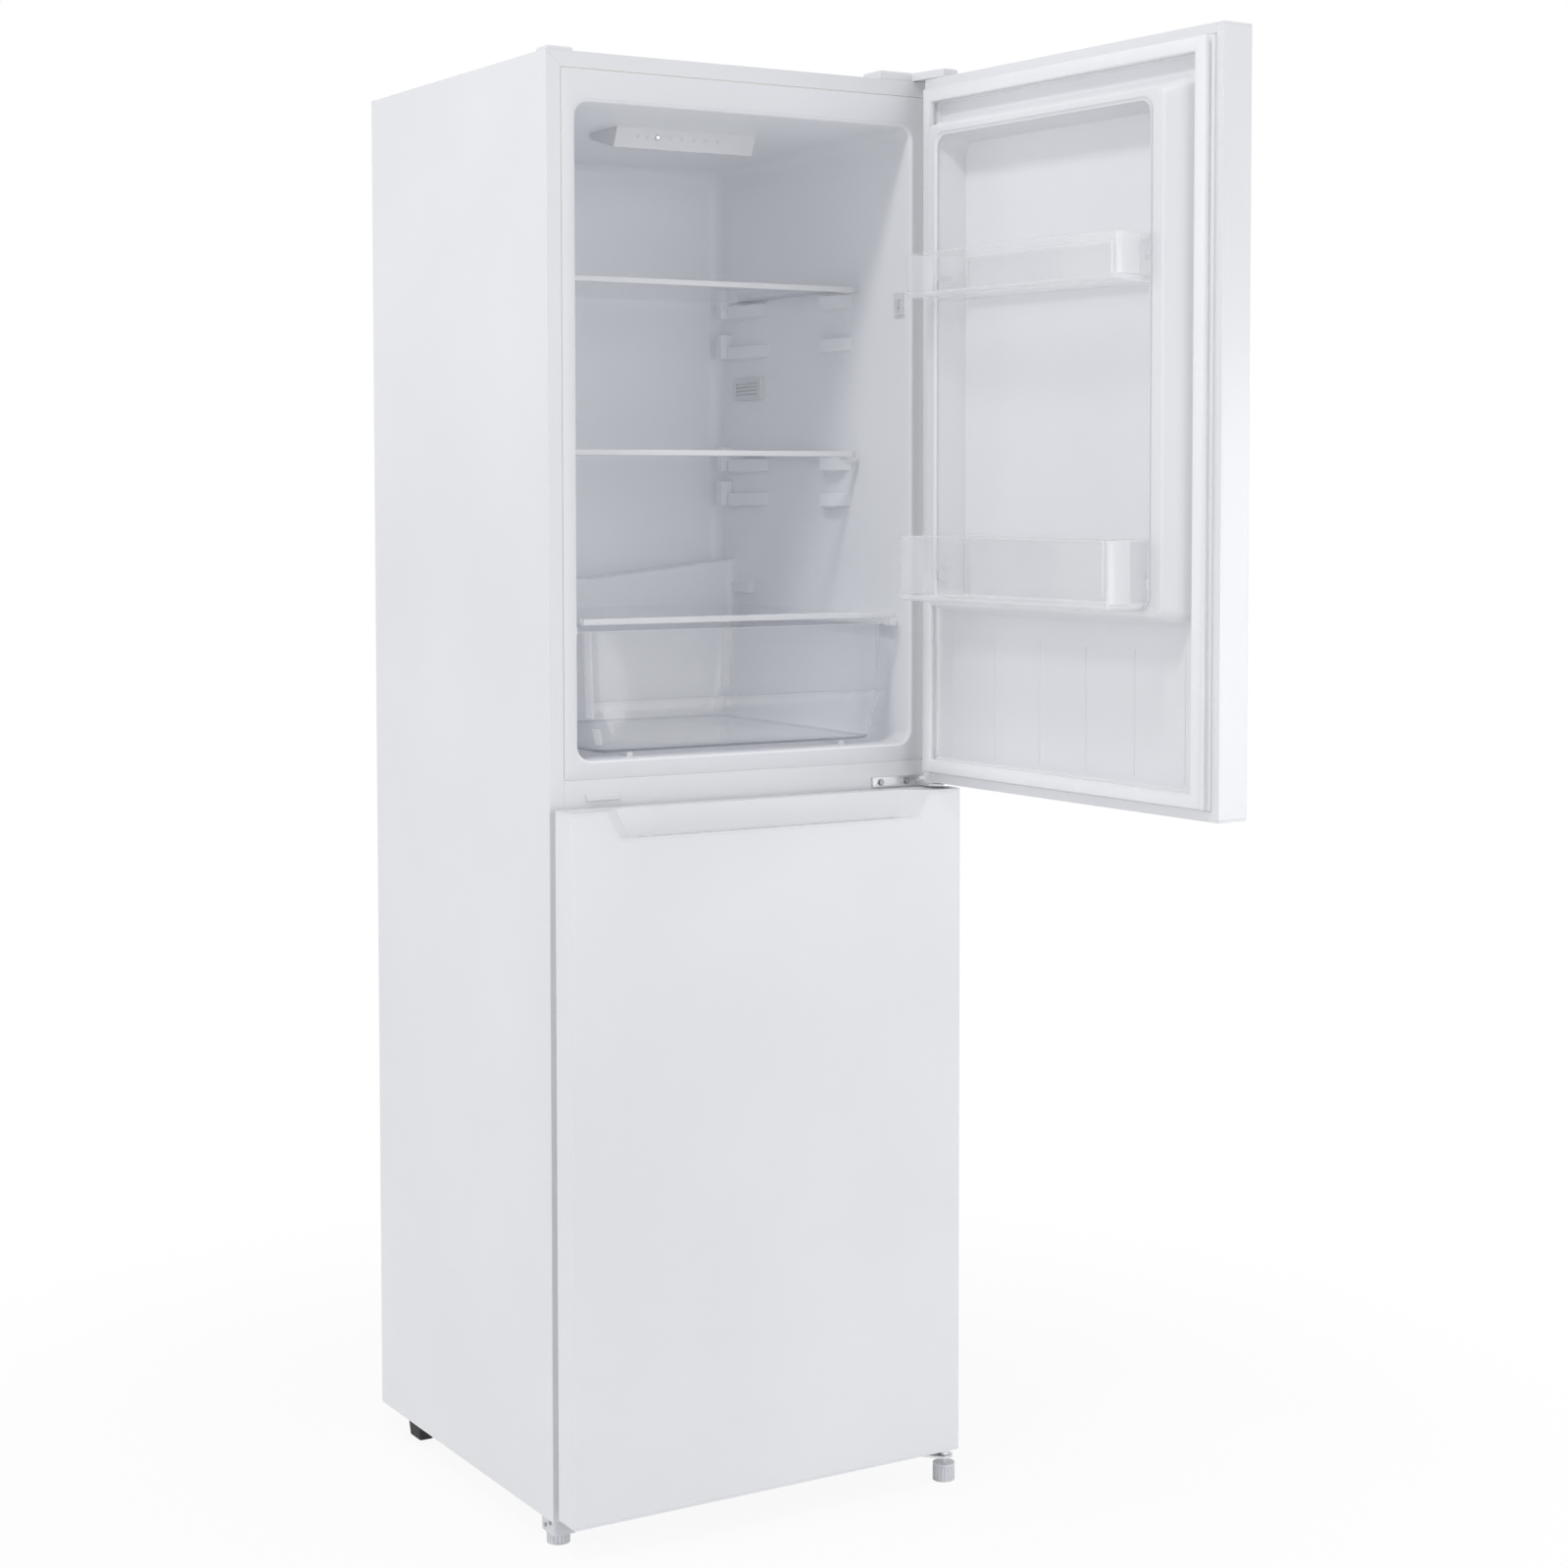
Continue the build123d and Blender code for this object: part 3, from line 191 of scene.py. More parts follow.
def makePaint(name, **changes):
    # baked powder paint: fine orange peel and a faint cloud in its tone and gloss
    look = {**paintLook, **changes}
    f = Finish(name)
    cloud = f.noise(look["cloudSize"], 3)
    fine = f.noise(look["peelSize"], 1)
    wide = f.noise(look["peelSize"] / look["coarser"], 2)
    tint = scaled(look["colour"], look["cloudTint"])
    colour = f.blend(cloud.between(*evenSpan), tint, rgba(*look["colour"]))
    smear = f.noise(look["smearSize"], 4, 0.6, look["smearStretch"])
    rough = look["roughness"] + smear.between(*look["smearSpan"], 0.0, look["smear"])
    normal = f.bump(fine * look["fineShare"] + wide, look["peel"], look["peelStrength"])
    return f.show(f.coat(Base_Color=colour, Roughness=rough, Normal=normal, IOR=look["ior"],
                         Coat_Weight=look["coat"], Coat_Roughness=look["coatRoughness"]))


plasticLook = {"driftSize": 3.0, "driftTint": 0.975, "glossSize": 24.0, "duller": 0.04,
               "glossier": -0.02, "grainSize": 220, "grainStrength": 0.25, "ior": 1.49,
               "shine": 0.45}


def makePlastic(name, colour, roughness, grain=0.000004):
    # moulded plastic: fine spark-eroded grain, slow drift of tone and gloss
    look = plasticLook
    f = Finish(name)
    drift = f.noise(look["driftSize"], 2)
    shade = f.blend(drift.between(*evenSpan), scaled(colour, look["driftTint"]), rgba(*colour))
    gloss = f.noise(look["glossSize"], 3).between(*highSpan, look["glossier"], look["duller"])
    normal = f.bump(f.noise(look["grainSize"], 1), grain, look["grainStrength"])
    return f.show(f.coat(Base_Color=shade, Roughness=roughness + gloss, IOR=look["ior"],
                         Specular_IOR_Level=look["shine"], Normal=normal))


clearLook = {"waveSize": 26.0, "wave": 0.0003, "waveStrength": 0.3, "bodyRoughness": 0.35,
             "bodyDuller": 0.1, "cloudTurn": 4.0, "cloudMost": 0.95, "glint": (0.97, 0.975, 0.98),
             "glintDuller": 0.04, "glintTurn": 5.0, "glintEdge": 0.8, "glintFaceOn": 0.035}


def makeClear(name, tint, milk, haze, edge, roughness):
    # clear moulding: see-through face on, milky where it turns away, with a mirror's glint over it
    look = clearLook
    f = Finish(name)
    facing = f.add("ShaderNodeLayerWeight", None, {"Blend": 0.5}).out("Facing")
    wave = f.noise(look["waveSize"], 2)
    normal = f.bump(wave, look["wave"], look["waveStrength"])
    dull = look["bodyRoughness"] + wave.between(*highSpan, 0.0, look["bodyDuller"])
    body = f.coat(Base_Color=rgba(*milk), Roughness=dull)
    glass = f.add("ShaderNodeBsdfTransparent", None, {"Color": rgba(*tint)}).out()
    cloudy = (facing.power(look["cloudTurn"]) * edge + haze).least(look["cloudMost"])
    inner = f.mix(cloudy, glass, body)
    glint = f.coat(Base_Color=rgba(*look["glint"]), Metallic=1.0, Normal=normal,
                   Roughness=roughness + wave.between(*highSpan, 0.0, look["glintDuller"]))
    shine = facing.power(look["glintTurn"]) * look["glintEdge"] + look["glintFaceOn"]
    return f.show(f.mix(shine, inner, glint))


metalLook = {"lineSize": 240.0, "lineDepth": 0.00004, "lineStrength": 0.6, "flakeSize": 160.0,
             "toneSpan": (0.2, 0.8), "dull": 0.72, "glossier": -0.06, "duller": 0.1}


def makeMetal(name, colour, roughness, brush=(1, 1, 1), spangle=0.0):
    # plated or bare metal: fine lines, or zinc flakes as far as spangle says
    look = metalLook
    f = Finish(name)
    lines = f.noise(look["lineSize"], 3, 0.6, brush)
    flakes = f.cells(look["flakeSize"])
    share = (lines * (1 - spangle) + flakes * spangle).between(*look["toneSpan"])
    shade = f.blend(share, scaled(colour, look["dull"]), rgba(*colour))
    rough = roughness + lines.between(*evenSpan, look["glossier"], look["duller"])
    return f.show(f.coat(Base_Color=shade, Metallic=1.0, Roughness=rough,
                         Normal=f.bump(lines, look["lineDepth"], look["lineStrength"])))


rubberLook = {"dustSize": 38.0, "dustSpan": (0.45, 0.8), "glossier": -0.03, "duller": 0.08,
              "grainSize": 300.0, "grain": 0.00003, "grainStrength": 0.4, "shine": 0.35}


def makeRubber(name, colour, roughness, dusty=0.5):
    # soft vinyl or rubber with a little pale dust
    look = rubberLook
    f = Finish(name)
    dust = f.noise(look["dustSize"], 4, 0.65)
    pale = tuple(min(1.0, c * 1.25 + 0.02) for c in colour)
    shade = f.blend(dust.between(*look["dustSpan"], 0.0, dusty), rgba(*colour), rgba(*pale))
    rough = roughness + dust.between(*highSpan, look["glossier"], look["duller"])
    normal = f.bump(f.noise(look["grainSize"], 2), look["grain"], look["grainStrength"])
    return f.show(f.coat(Base_Color=shade, Roughness=rough, Normal=normal,
                         Specular_IOR_Level=look["shine"]))


foamLook = {"dark": (0.80, 0.70, 0.42), "pale": (0.88, 0.80, 0.55), "cloudSize": 18.0,
            "cellSize": 900.0, "cellDepth": 0.0004, "cellStrength": 0.8, "roughness": 0.9}


def makeFoam(name):
    look = foamLook
    f = Finish(name)
    cells = f.cells(look["cellSize"])
    cloud = f.noise(look["cloudSize"], 4)
    shade = f.blend(cloud.between(*evenSpan), rgba(*look["dark"]), rgba(*look["pale"]))
    return f.show(f.coat(Base_Color=shade, Roughness=look["roughness"],
                         Normal=f.bump(cells, look["cellDepth"], look["cellStrength"])))


def makeLamp(name, lens, colour, strength):
    # a small lit window, its light a little uneven
    f = Finish(name)
    bright = rgba(*(min(1.0, c * 1.1) for c in colour))
    glow = f.blend(f.noise(300.0, 1), rgba(*colour), bright)
    return f.show(f.coat(Base_Color=rgba(*lens), Roughness=0.35, Emission_Color=glow,
                         Emission_Strength=strength))


# one finish for each slot of the record
finishes = {
    "white_steel": makePaint("whitePowderPaint"),
    "zinc_steel": makeMetal("galvanisedSheet", (0.62, 0.64, 0.66), 0.42, (1, 1, 1), 0.7),
    "bright_steel": makeMetal("zincPlatedSteel", (0.80, 0.81, 0.83), 0.35, (0.2, 1, 1)),
    "foam": makeFoam("insulationFoam"),
    # the hollow's liner plastic is painted lighter than the same plastic on the doors: painted light for the light
    # that reaches deep into the hollow
    "liner_plastic": makePlastic("linerPlasticPaintedLight", (0.915, 0.918, 0.94), 0.33, 0.000002),
    "white_plastic": makePlastic("whiteMoulding", (0.79, 0.795, 0.81), 0.36),
    "grey_plastic": makePlastic("paleGreyMoulding", (0.71, 0.715, 0.735), 0.45),
    "dark_plastic": makePlastic("darkMoulding", (0.035, 0.037, 0.04), 0.45),
    "seal_rubber": makeRubber("doorSealVinyl", (0.84, 0.845, 0.86), 0.45, 0.15),
    "black_rubber": makeRubber("blackRubber", (0.03, 0.03, 0.032), 0.65),
    "shelf_glass": makeClear("shelfGlass", (0.99, 0.996, 0.996), (0.80, 0.83, 0.835),
                             0.012, 0.12, 0.03),
    "clear_plastic": makeClear("clearMoulding", (0.999, 0.999, 0.999), (0.95, 0.95, 0.955),
                               0.045, 0.3, 0.05),
    "frosted_plastic": makePlastic("frostedWindow", (0.83, 0.85, 0.88), 0.5),
    "black_steel": makePaint("blackEnamel", colour=(0.02, 0.02, 0.022), roughness=0.28,
                             peel=0.00012, peelSize=260),
    "copper_pipe": makeMetal("copperTube", (0.83, 0.44, 0.29), 0.3),
}
# finishes of single pieces, or of parts of them
own = {
    "crisperClear": makeClear("crisperMoulding", (0.999, 0.999, 1.0), (0.96, 0.962, 0.995),
                              0.10, 0.3, 0.05),
    # a milky clear finish: on the crisper cover's trim its own tone, on rims, corners and bands of the clear
    # mouldings a painted highlight
    "clearEdge": makeClear("clearMouldingMilkAndPaintedHighlight", (0.99, 0.99, 0.995), (0.95, 0.955, 0.965),
                           0.36, 0.4, 0.08),
    # a darker copy of the clear finish that paints shade lines along edges of the clear mouldings
    "darkEdge": makeClear("clearMouldingPaintedShadeEdge", (0.76, 0.77, 0.80), (0.36, 0.37, 0.40),
                          0.26, 0.3, 0.08),
    # a darker copy of the same white liner plastic, for the door panels and the mouth flanges: painted shade
    "doorPlastic": makePlastic("linerPlasticPaintedShade", (0.785, 0.79, 0.81), 0.32, 0.000002),
    "screwSteel": makeMetal("screwSteel", (0.47, 0.475, 0.49), 0.36),
    "pilotLamp": makeLamp("pilotLamp", (0.9, 0.92, 0.95), (0.75, 0.85, 1.0), 2.2),
    "markInk": makePlastic("markInk", (0.69, 0.70, 0.73), 0.5),
}
print("finishes made:", len(finishes) + len(own))
slotOf = {s["node"]: s["material_slot"] for s in frame["record"]["subparts"]}
bodyOf = {node: body for body, nodes in bodies.items() for node in nodes}


# ---- mesh helpers

weld = 0.0005  # mm between points that become one, in pieces made here
frameWeld = 0.01  # the same in copies of CAD nodes
flatWithin = 0.6  # degrees between faces that become one
sharpFrom = 34  # degrees from which an edge stays sharp


def arc(steps):
    # angles of a quarter turn
    return [math.pi / 2 * k / steps for k in range(steps + 1)]


def roundCorners(points, radii, steps):
    # a convex outline with each corner rounded; every corner gives steps + 1 points
    out = []
    count = len(points)
    for k, corner in enumerate(points):
        here = Vector(corner)
        before = (Vector(points[k - 1]) - here).normalized()
        after = (Vector(points[(k + 1) % count]) - here).normalized()
        half = before.angle(after) / 2
        radius = max(radii[k], 0.01)
        reach = radius / math.tan(half)
        middle = here + (before + after).normalized() * (radius / math.sin(half))
        start, end = here + before * reach - middle, here + after * reach - middle
        turn = start.angle_signed(end)
        for j in range(steps + 1):
            out.append(middle + Matrix.Rotation(-turn * j / steps, 2) @ start)
    return out


def inset(points, amount):
    # a convex anticlockwise outline moved in by amount
    lines = []
    count = len(points)
    for k in range(count):
        a, b = Vector(points[k]), Vector(points[(k + 1) % count])
        along = (b - a).normalized()
        lines.append((a + Vector((-along.y, along.x)) * amount, along))
    out = []
    for k in range(count):
        (p, d), (q, e) = lines[k - 1], lines[k]
        t = ((q.x - p.x) * e.y - (q.y - p.y) * e.x) / (d.x * e.y - d.y * e.x)
        out.append(p + d * t)
    return out


def rectangle(x0, x1, y0, y1):
    return [(x0, y0), (x1, y0), (x1, y1), (x0, y1)]


def uprightRing(half, z0, z1, radius, y, steps):
    outline = roundCorners(rectangle(-half, half, z0, z1), [radius] * 4, steps)
    return [(p.x, y, p.y) for p in outline]


def skinRings(mesh, rings, capFirst=False, capLast=False, closeUp=False):
    # joins equal rings of points with faces
    loops = [[mesh.verts.new(p) for p in ring] for ring in rings]
    if closeUp:
        loops.append(loops[0])
    for a, b in zip(loops, loops[1:]):
        count = len(a)
        for k in range(count):
            n = (k + 1) % count
            mesh.faces.new((a[k], a[n], b[n], b[k]))
    if capFirst:
        mesh.faces.new(list(reversed(loops[0])))
    if capLast:
        mesh.faces.new(loops[-1])


def addPrism(mesh, outline, axis, low, high):
    # outline lies in the plane across axis: x gives (y, z), y gives (x, z), z gives (x, y)
    order = {"x": (2, 0, 1), "y": (0, 2, 1), "z": (0, 1, 2)}[axis]

    def ring(depth):
        return [tuple((p[0], p[1], depth)[k] for k in order) for p in outline]

    skinRings(mesh, [ring(low), ring(high)], capFirst=True, capLast=True)


def addBlock(mesh, x0, x1, y0, y1, z0, z1):
    addPrism(mesh, rectangle(x0, x1, y0, y1), "z", z0, z1)


def addTurned(mesh, profile, centre, axis="z", steps=32):
    # a lathe shape from (radius, distance along the axis)
    rings = []
    for radius, along in profile:
        ring = []
        for k in range(steps):
            a = 2 * math.pi * k / steps
            u, v = radius * math.cos(a), radius * math.sin(a)
            spot = {"y": (v, along, u), "z": (u, v, along)}[axis]
            ring.append(Vector(centre) + Vector(spot))
        rings.append(ring)
    skinRings(mesh, rings, capFirst=True, capLast=True)


def placePiece(name, mesh, coats, body, bevel, segments, sharp, replaces):
    # a named piece from its mesh, its edges softened: bevel in mm, sharp in degrees
    data = bpy.data.meshes.new(name)
    mesh.to_mesh(data)
    mesh.free()
    piece = bpy.data.objects.new(name, data)
    bpy.context.scene.collection.objects.link(piece)
    for coat in coats:
        data.materials.append(coat)
    data.shade_smooth()
    data.set_sharp_from_angle(angle=math.radians(sharp))
    if bevel:
        m = piece.modifiers.new("roundedEdges", "BEVEL")
        m.width, m.segments, m.limit_method = bevel * mm, segments, "ANGLE"
        m.angle_limit = math.radians(sharp)
        m.use_clamp_overlap = True
        m.harden_normals = True
    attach(piece, body)
    if replaces:
        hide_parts(*replaces)
    return piece


def finishPiece(name, mesh, body, slot, bevel=0.0, segments=3, sharp=sharpFrom, door=False,
                material=None, more=(), replaces=()):
    # welds a mesh made here and turns it to room coordinates, the door's own pieces open
    bmesh.ops.remove_doubles(mesh, verts=mesh.verts, dist=weld)
    bmesh.ops.recalc_face_normals(mesh, faces=mesh.faces)
    mesh.transform((swing if door else Matrix()) @ toRoom)
    coats = (material or finishes[slot], *more)
    placePiece(name, mesh, coats, body, bevel, segments, sharp, replaces)


def fromFrame(node, name, bevel, segments=2, sharp=30, material=None):
    # a softened copy of a CAD node: flat faces cleaned up, then its edges rounded
    mesh = bmesh.new()
    mesh.from_mesh(frame["nodes"][node].data)
    bmesh.ops.remove_doubles(mesh, verts=mesh.verts, dist=frameWeld * mm)
    bmesh.ops.dissolve_limit(mesh, angle_limit=math.radians(flatWithin), verts=mesh.verts,
                             edges=mesh.edges)
    slot = slotOf[node]
    coats = [material or finishes[slot]]
    return placePiece(name, mesh, coats, bodyOf[node], bevel, segments, sharp, [node])


# ---- compartments

fridgeHollow = {"mouthInset": 19.5, "backInset": 27.0, "floorUp": 22.5, "ceilingDown": 38.0,
                "ceilingDownBack": 50.0, "wall": 2.0, "mouthRound": 5.0, "corner": 18.0,
                "rearRound": 17.0}
freezerHollow = {**fridgeHollow, "floorUp": 22.0, "ceilingDown": 19.0, "ceilingDownBack": 19.0}
# the flange round a mouth: how far in from its rim, and y
flangeLook = {"profile": [(0.0, 1.5), (0.9, 1.5), (0.9, 0.5), (1.1, 0.15), (1.5, 0.0)],
              "corner": 1.5, "deep": 0.6}


class Hollow:
    # the inside of a compartment, read off its liner's box
    def __init__(self, node, look):
        low, high = nodeBox(node)
        self.look = look
        self.seam, self.bottom, self.top = high.x, low.z, high.z
        self.mouth = high.x - look["mouthInset"]
        self.rear = high.x - look["backInset"]
        self.floor = low.z + look["floorUp"]
        self.ceiling = high.z - look["ceilingDown"]
        self.ceilingBack = high.z - look["ceilingDownBack"]
        self.back = high.y - look["wall"]

    def wallAt(self, y):
        return self.mouth + (self.rear - self.mouth) * y / self.back

    def ceilingAt(self, y):
        return self.ceiling + (self.ceilingBack - self.ceiling) * y / self.back

    def ring(self, y, grow, radius):
        half, low = self.wallAt(max(y, 0)) + grow, self.floor - grow
        return uprightRing(half, low, self.ceilingAt(max(y, 0)) + grow, radius, y, 8)


def addHollowSkin(mesh, h):
    # the side one sees: flange, rounded mouth, walls, rounded back
    wall, mouthRound, corner = h.look["wall"], h.look["mouthRound"], h.look["corner"]
    rings = []
    for back, y in [(0.0, wall), *flangeLook["profile"]]:
        rings.append(uprightRing(h.seam - back, h.bottom + back, h.top - back,
                                 flangeLook["corner"], y, 8))
    for a in arc(7):
        grow = mouthRound * (1 - math.sin(a))
        rings.append(h.ring(mouthRound * (1 - math.cos(a)), grow, corner + grow))
    rear = h.look["rearRound"]
    for a in arc(7):
        y = h.back - rear + rear * math.sin(a)
        shrink = rear * (1 - math.cos(a))
        rings.append(h.ring(y, -shrink, max(corner - shrink, 1.0)))
    skinRings(mesh, rings, capLast=True)


def paintShadeOnFlange(mesh):
    # the flat flange round the mouth takes the second finish, the darker copy of the liner plastic: painted shade
    for face in mesh.faces:
        if face.calc_center_median().y < flangeLook["deep"]:
            face.material_index = 1


def addOuterSkin(mesh, h):
    # the foam side of the same sheet, so that the liner is a closed shell
    wall, corner = h.look["wall"], h.look["corner"]
    bend = 14  # how far back the foam side leaves the flange
    rings = [uprightRing(h.seam, h.bottom, h.top, flangeLook["corner"], wall, 8)]
    rings += [h.ring(bend, wall, corner + wall), h.ring(h.back, wall, corner)]
    rings.append([(x, h.back + wall, z) for x, y, z in h.ring(h.back, wall, corner)])
    skinRings(mesh, rings, capLast=True)


edgeRound = {"block": 4.0, "gutterMouth": 2.0, "gutterFloor": 3.0, "gutterBack": 1.0}


def addRearBlock(mesh, h, frontY, topAt, cove, gutter=None, steps=24):
    # the thick lower part of a back wall, coved into the side walls and the floor
    e = edgeRound
    block, mouth, foot, lip = e["block"], e["gutterMouth"], e["gutterFloor"], e["gutterBack"]
    half = h.wallAt(frontY) + 0.5
    near = [half - cove * (1 - math.cos(a)) for a in arc(5)]
    across = [-x for x in near] + [half * (k / steps * 2 - 1) * 0.9 for k in range(steps + 1)]
    across = sorted(set(across + [0.0] + near))
    rings = []
    for x in across:
        edge = max(0.0, cove - (half - abs(x)))
        y = frontY - (cove - math.sqrt(max(cove ** 2 - edge ** 2, 0.0)))
        top = topAt(x)
        profile = [(y - cove * (1 - math.sin(a)), h.floor + cove * (1 - math.cos(a)))
                   for a in arc(4)]
        profile += [(y + block * (1 - math.cos(a)), top - block * (1 - math.sin(a)))
                    for a in arc(4)]
        if gutter:
            y0, y1, low = gutter["start"], gutter["start"] + gutter["width"], top - gutter["depth"]
            profile += [(y0 + mouth * math.sin(a), top - mouth * (1 - math.cos(a))) for a in arc(3)]
            profile += [(y0 + mouth, low + foot), (y0 + mouth + foot, low)]
            profile += [(y1 - mouth - foot, low), (y1 - mouth, low + foot)]
            profile += [(y1 - lip, top - lip), (y1, top)]
        profile += [(h.back + 1, top), (h.back + 1, h.floor - 1), (y - cove, h.floor - 1)]
        rings.append([(x, py, pz) for py, pz in profile])
    skinRings(mesh, rings, capFirst=True, capLast=True)


# pads under the shelves, a second row lower down, and a ledge and stops for the crisper's cover
supportLook = {"reach": 218.5, "tabReach": 209.5, "frontY": 136.0, "frontLong": 60.0,
               "rearY": 344.0, "rearLong": 98.0, "high": 17.0, "lead": 25.0, "slope": 5.5,
               "tabLong": 14.0, "tabUp": 17.0, "gap": 0.3,
               "lowerRow": {"shelf_upper_rim": 56.0, "shelf_lower_rim": 47.0},
               "ledgeReach": 221.5, "ledgeStart": 26.0, "ledgeEnd": 437.0, "ledgeHigh": 10.0,
               "stopY": 385.0, "stopLong": 53.0, "stopHigh": 14.0, "stopUp": 20.0}


def addPad(mesh, h, side, y, length, top):
    # a pad whose front end slants out of the wall and whose underside falls towards it
    s = supportLook
    low = top - s["high"]
    at = [(h.wallAt(y) + 1, y, low), (h.wallAt(y + length) + 1, y + length, low - s["slope"]),
          (s["reach"], y + length, low), (s["reach"], y + s["lead"], low)]
    rings = [[(side * x, py, z) for x, py, z in at], [(side * x, py, top) for x, py, z in at]]
    skinRings(mesh, rings, capFirst=True, capLast=True)


def addWallBlock(mesh, h, side, reach, y0, y1, z0, z1):
    # a block from a side wall inwards
    wall = h.wallAt((y0 + y1) / 2) + 1
    addBlock(mesh, *sorted((side * reach, side * wall)), y0, y1, z0, z1)


def addSupports(mesh, h, underside):
    s = supportLook
    top = underside - s["gap"]
    tabY = s["rearY"] + s["rearLong"]
    for side in (-1, 1):
        addPad(mesh, h, side, s["frontY"], s["frontLong"], top)
        addPad(mesh, h, side, s["rearY"], s["rearLong"] - 0.5, top)
        addWallBlock(mesh, h, side, s["tabReach"], tabY, tabY + s["tabLong"], top - s["high"],
                     top + s["tabUp"])


# the thick rear wall with its drain gutter, whose ends stand higher than its middle
troughLook = {"thick": 42.0, "cove": 14.0, "start": 446.0, "width": 26.0, "depth": 8.0,
              "sideUp": 229.0, "drop": 29.0, "pastSeam": 19.0}
floorRibLook = {"inner": 146.0, "outer": 154.0, "start": 30.0, "end": 436.0, "high": 5.0}


def makeFridgeLiner():
    h = Hollow("fridge_liner", fridgeHollow)
    t, s, rib = troughLook, supportLook, floorRibLook
    mesh = bmesh.new()
    addHollowSkin(mesh, h)
    addOuterSkin(mesh, h)

    def topAt(x):
        return h.floor + t["sideUp"] - t["drop"] * (1 - abs(x) / (h.seam + t["pastSeam"]))

    addRearBlock(mesh, h, h.back - t["thick"], topAt, t["cove"], t)
    paintShadeOnFlange(mesh)
    finishPiece("fridgeLiner", mesh, "cabinet", "liner_plastic", replaces=["fridge_liner"],
                more=[own["doorPlastic"]])
    mesh = bmesh.new()
    for node, lowered in s["lowerRow"].items():
        underside = nodeBox(node)[0].z
        addSupports(mesh, h, underside)
        addSupports(mesh, h, underside - lowered)
    cover = nodeBox("crisper_cover")[0].z
    stop = cover + s["stopUp"]
    for side in (-1, 1):
        addWallBlock(mesh, h, side, s["ledgeReach"], s["ledgeStart"], s["ledgeEnd"],
                     cover - s["ledgeHigh"], cover)
        addWallBlock(mesh, h, side, s["ledgeReach"], s["stopY"], s["stopY"] + s["stopLong"], stop,
                     stop + s["stopHigh"])
        addBlock(mesh, *sorted((side * rib["inner"], side * rib["outer"])), rib["start"],
                 rib["end"], h.floor - 1, h.floor + rib["high"])
    finishPiece("shelfSupports", mesh, "cabinet", "liner_plastic", 1.3, 3,
                replaces=["fridge_liner"])
    makeDrainMouth(topAt(0) - t["depth"])


# radius and height over the gutter's floor
drainLook = {"profile": [(9.0, 0.4), (9.0, 1.2), (7.6, 1.6), (6.8, 1.0), (6.6, 0.6)]}


def makeDrainMouth(floor):
    # dark mouth of the drain at the lowest point of the gutter
    y = troughLook["start"] + troughLook["width"] / 2
    mesh = bmesh.new()
    addTurned(mesh, drainLook["profile"], (0, y, floor))
    finishPiece("drainMouth", mesh, "cabinet", "dark_plastic", replaces=["drain_tube"])


# the step over the compressor, and the ledges under the glass plates
freezerLook = {"stepFront": 289.0, "stepHigh": 208.0, "cove": 12.0, "plates": (261.0, 511.0),
               "ledgeReach": 220.5, "ledgeStart": 24.0, "ledgeEnd": 434.0, "ledgeHigh": 6.0}


def makeFreezerLiner():
    h = Hollow("freezer_liner", freezerHollow)
    k = freezerLook
    mesh = bmesh.new()
    addHollowSkin(mesh, h)
    addOuterSkin(mesh, h)
    addRearBlock(mesh, h, k["stepFront"], lambda x: h.bottom + k["stepHigh"], k["cove"])
    for plate in k["plates"]:
        top = h.floor + plate
        for side in (-1, 1):
            addWallBlock(mesh, h, side, k["ledgeReach"], k["ledgeStart"], k["ledgeEnd"],
                         top - k["ledgeHigh"], top)
    paintShadeOnFlange(mesh)
    finishPiece("freezerLiner", mesh, "cabinet", "liner_plastic", replaces=["freezer_liner"],
                more=[own["doorPlastic"]])


# ---- doors

dikeLook = {"baseHalf": 232.0, "crestHalf": 220.0, "pocketBase": 188.0, "pocketCrest": 200.0,
            "bottomUp": 205.0, "topDown": 40.0, "topSlope": 13.0, "footSlope": 8.0, "high": 38.0,
            "pocketBottomUp": 16.7, "pocketTopDown": 35.0, "pocketSlope": 12.0, "round": 16.0,
            "foot": 5.0, "shoulder": 4.0, "pocketFoot": 6.0, "pocketShoulder": 4.0}
doorEdgeLook = {"sheet": 2.0, "lip": 1.5, "lipRound": 2.0, "round": 3.0, "straight": 1.2,
                "ease": 0.8}
# faint upright ribs low on the fridge door, and the lugs that the racks hang on
ribLook = {"count": 6, "apart": 86.0, "halfWide": 2.2, "start": 28.0, "end": 173.0, "high": 0.6}
lugLook = {"inner": 191.5, "outer": 199.0, "front": 20.0, "back": 33.0, "long": 12.0, "gap": 0.3}
rackLook = {"wall": 2.5, "splay": 18.0, "frontRound": 10.0, "rearRound": 3.0, "foot": 8.0,
            "band": 38.0, "hookUp": 0.45, "hookIn": 2.5, "hookOut": 194.3, "hookFront": 21.0,
            "hookBack": 32.0, "hookHigh": 5.0}


def addDoorPanel(mesh, low, high, frames, face):
    # inner panel of a door from its edge to the middle; frames are (half, z0, z1, radius, y)
    e = doorEdgeLook
    back = face - e["sheet"]

    def edge(inwards, radius, y):
        return uprightRing(high.x - inwards, low.z + inwards, high.z - inwards, radius, y, 7)

    rings = [edge(e["lip"], e["lipRound"], back), edge(0, e["round"], back),
             edge(0, e["round"], back + e["straight"]), edge(e["ease"], e["round"], face)]
    for w, z0, z1, radius, y in frames:
        rings.append(uprightRing(w, z0, z1, radius, y, 7))
    skinRings(mesh, rings, capFirst=True, capLast=True)


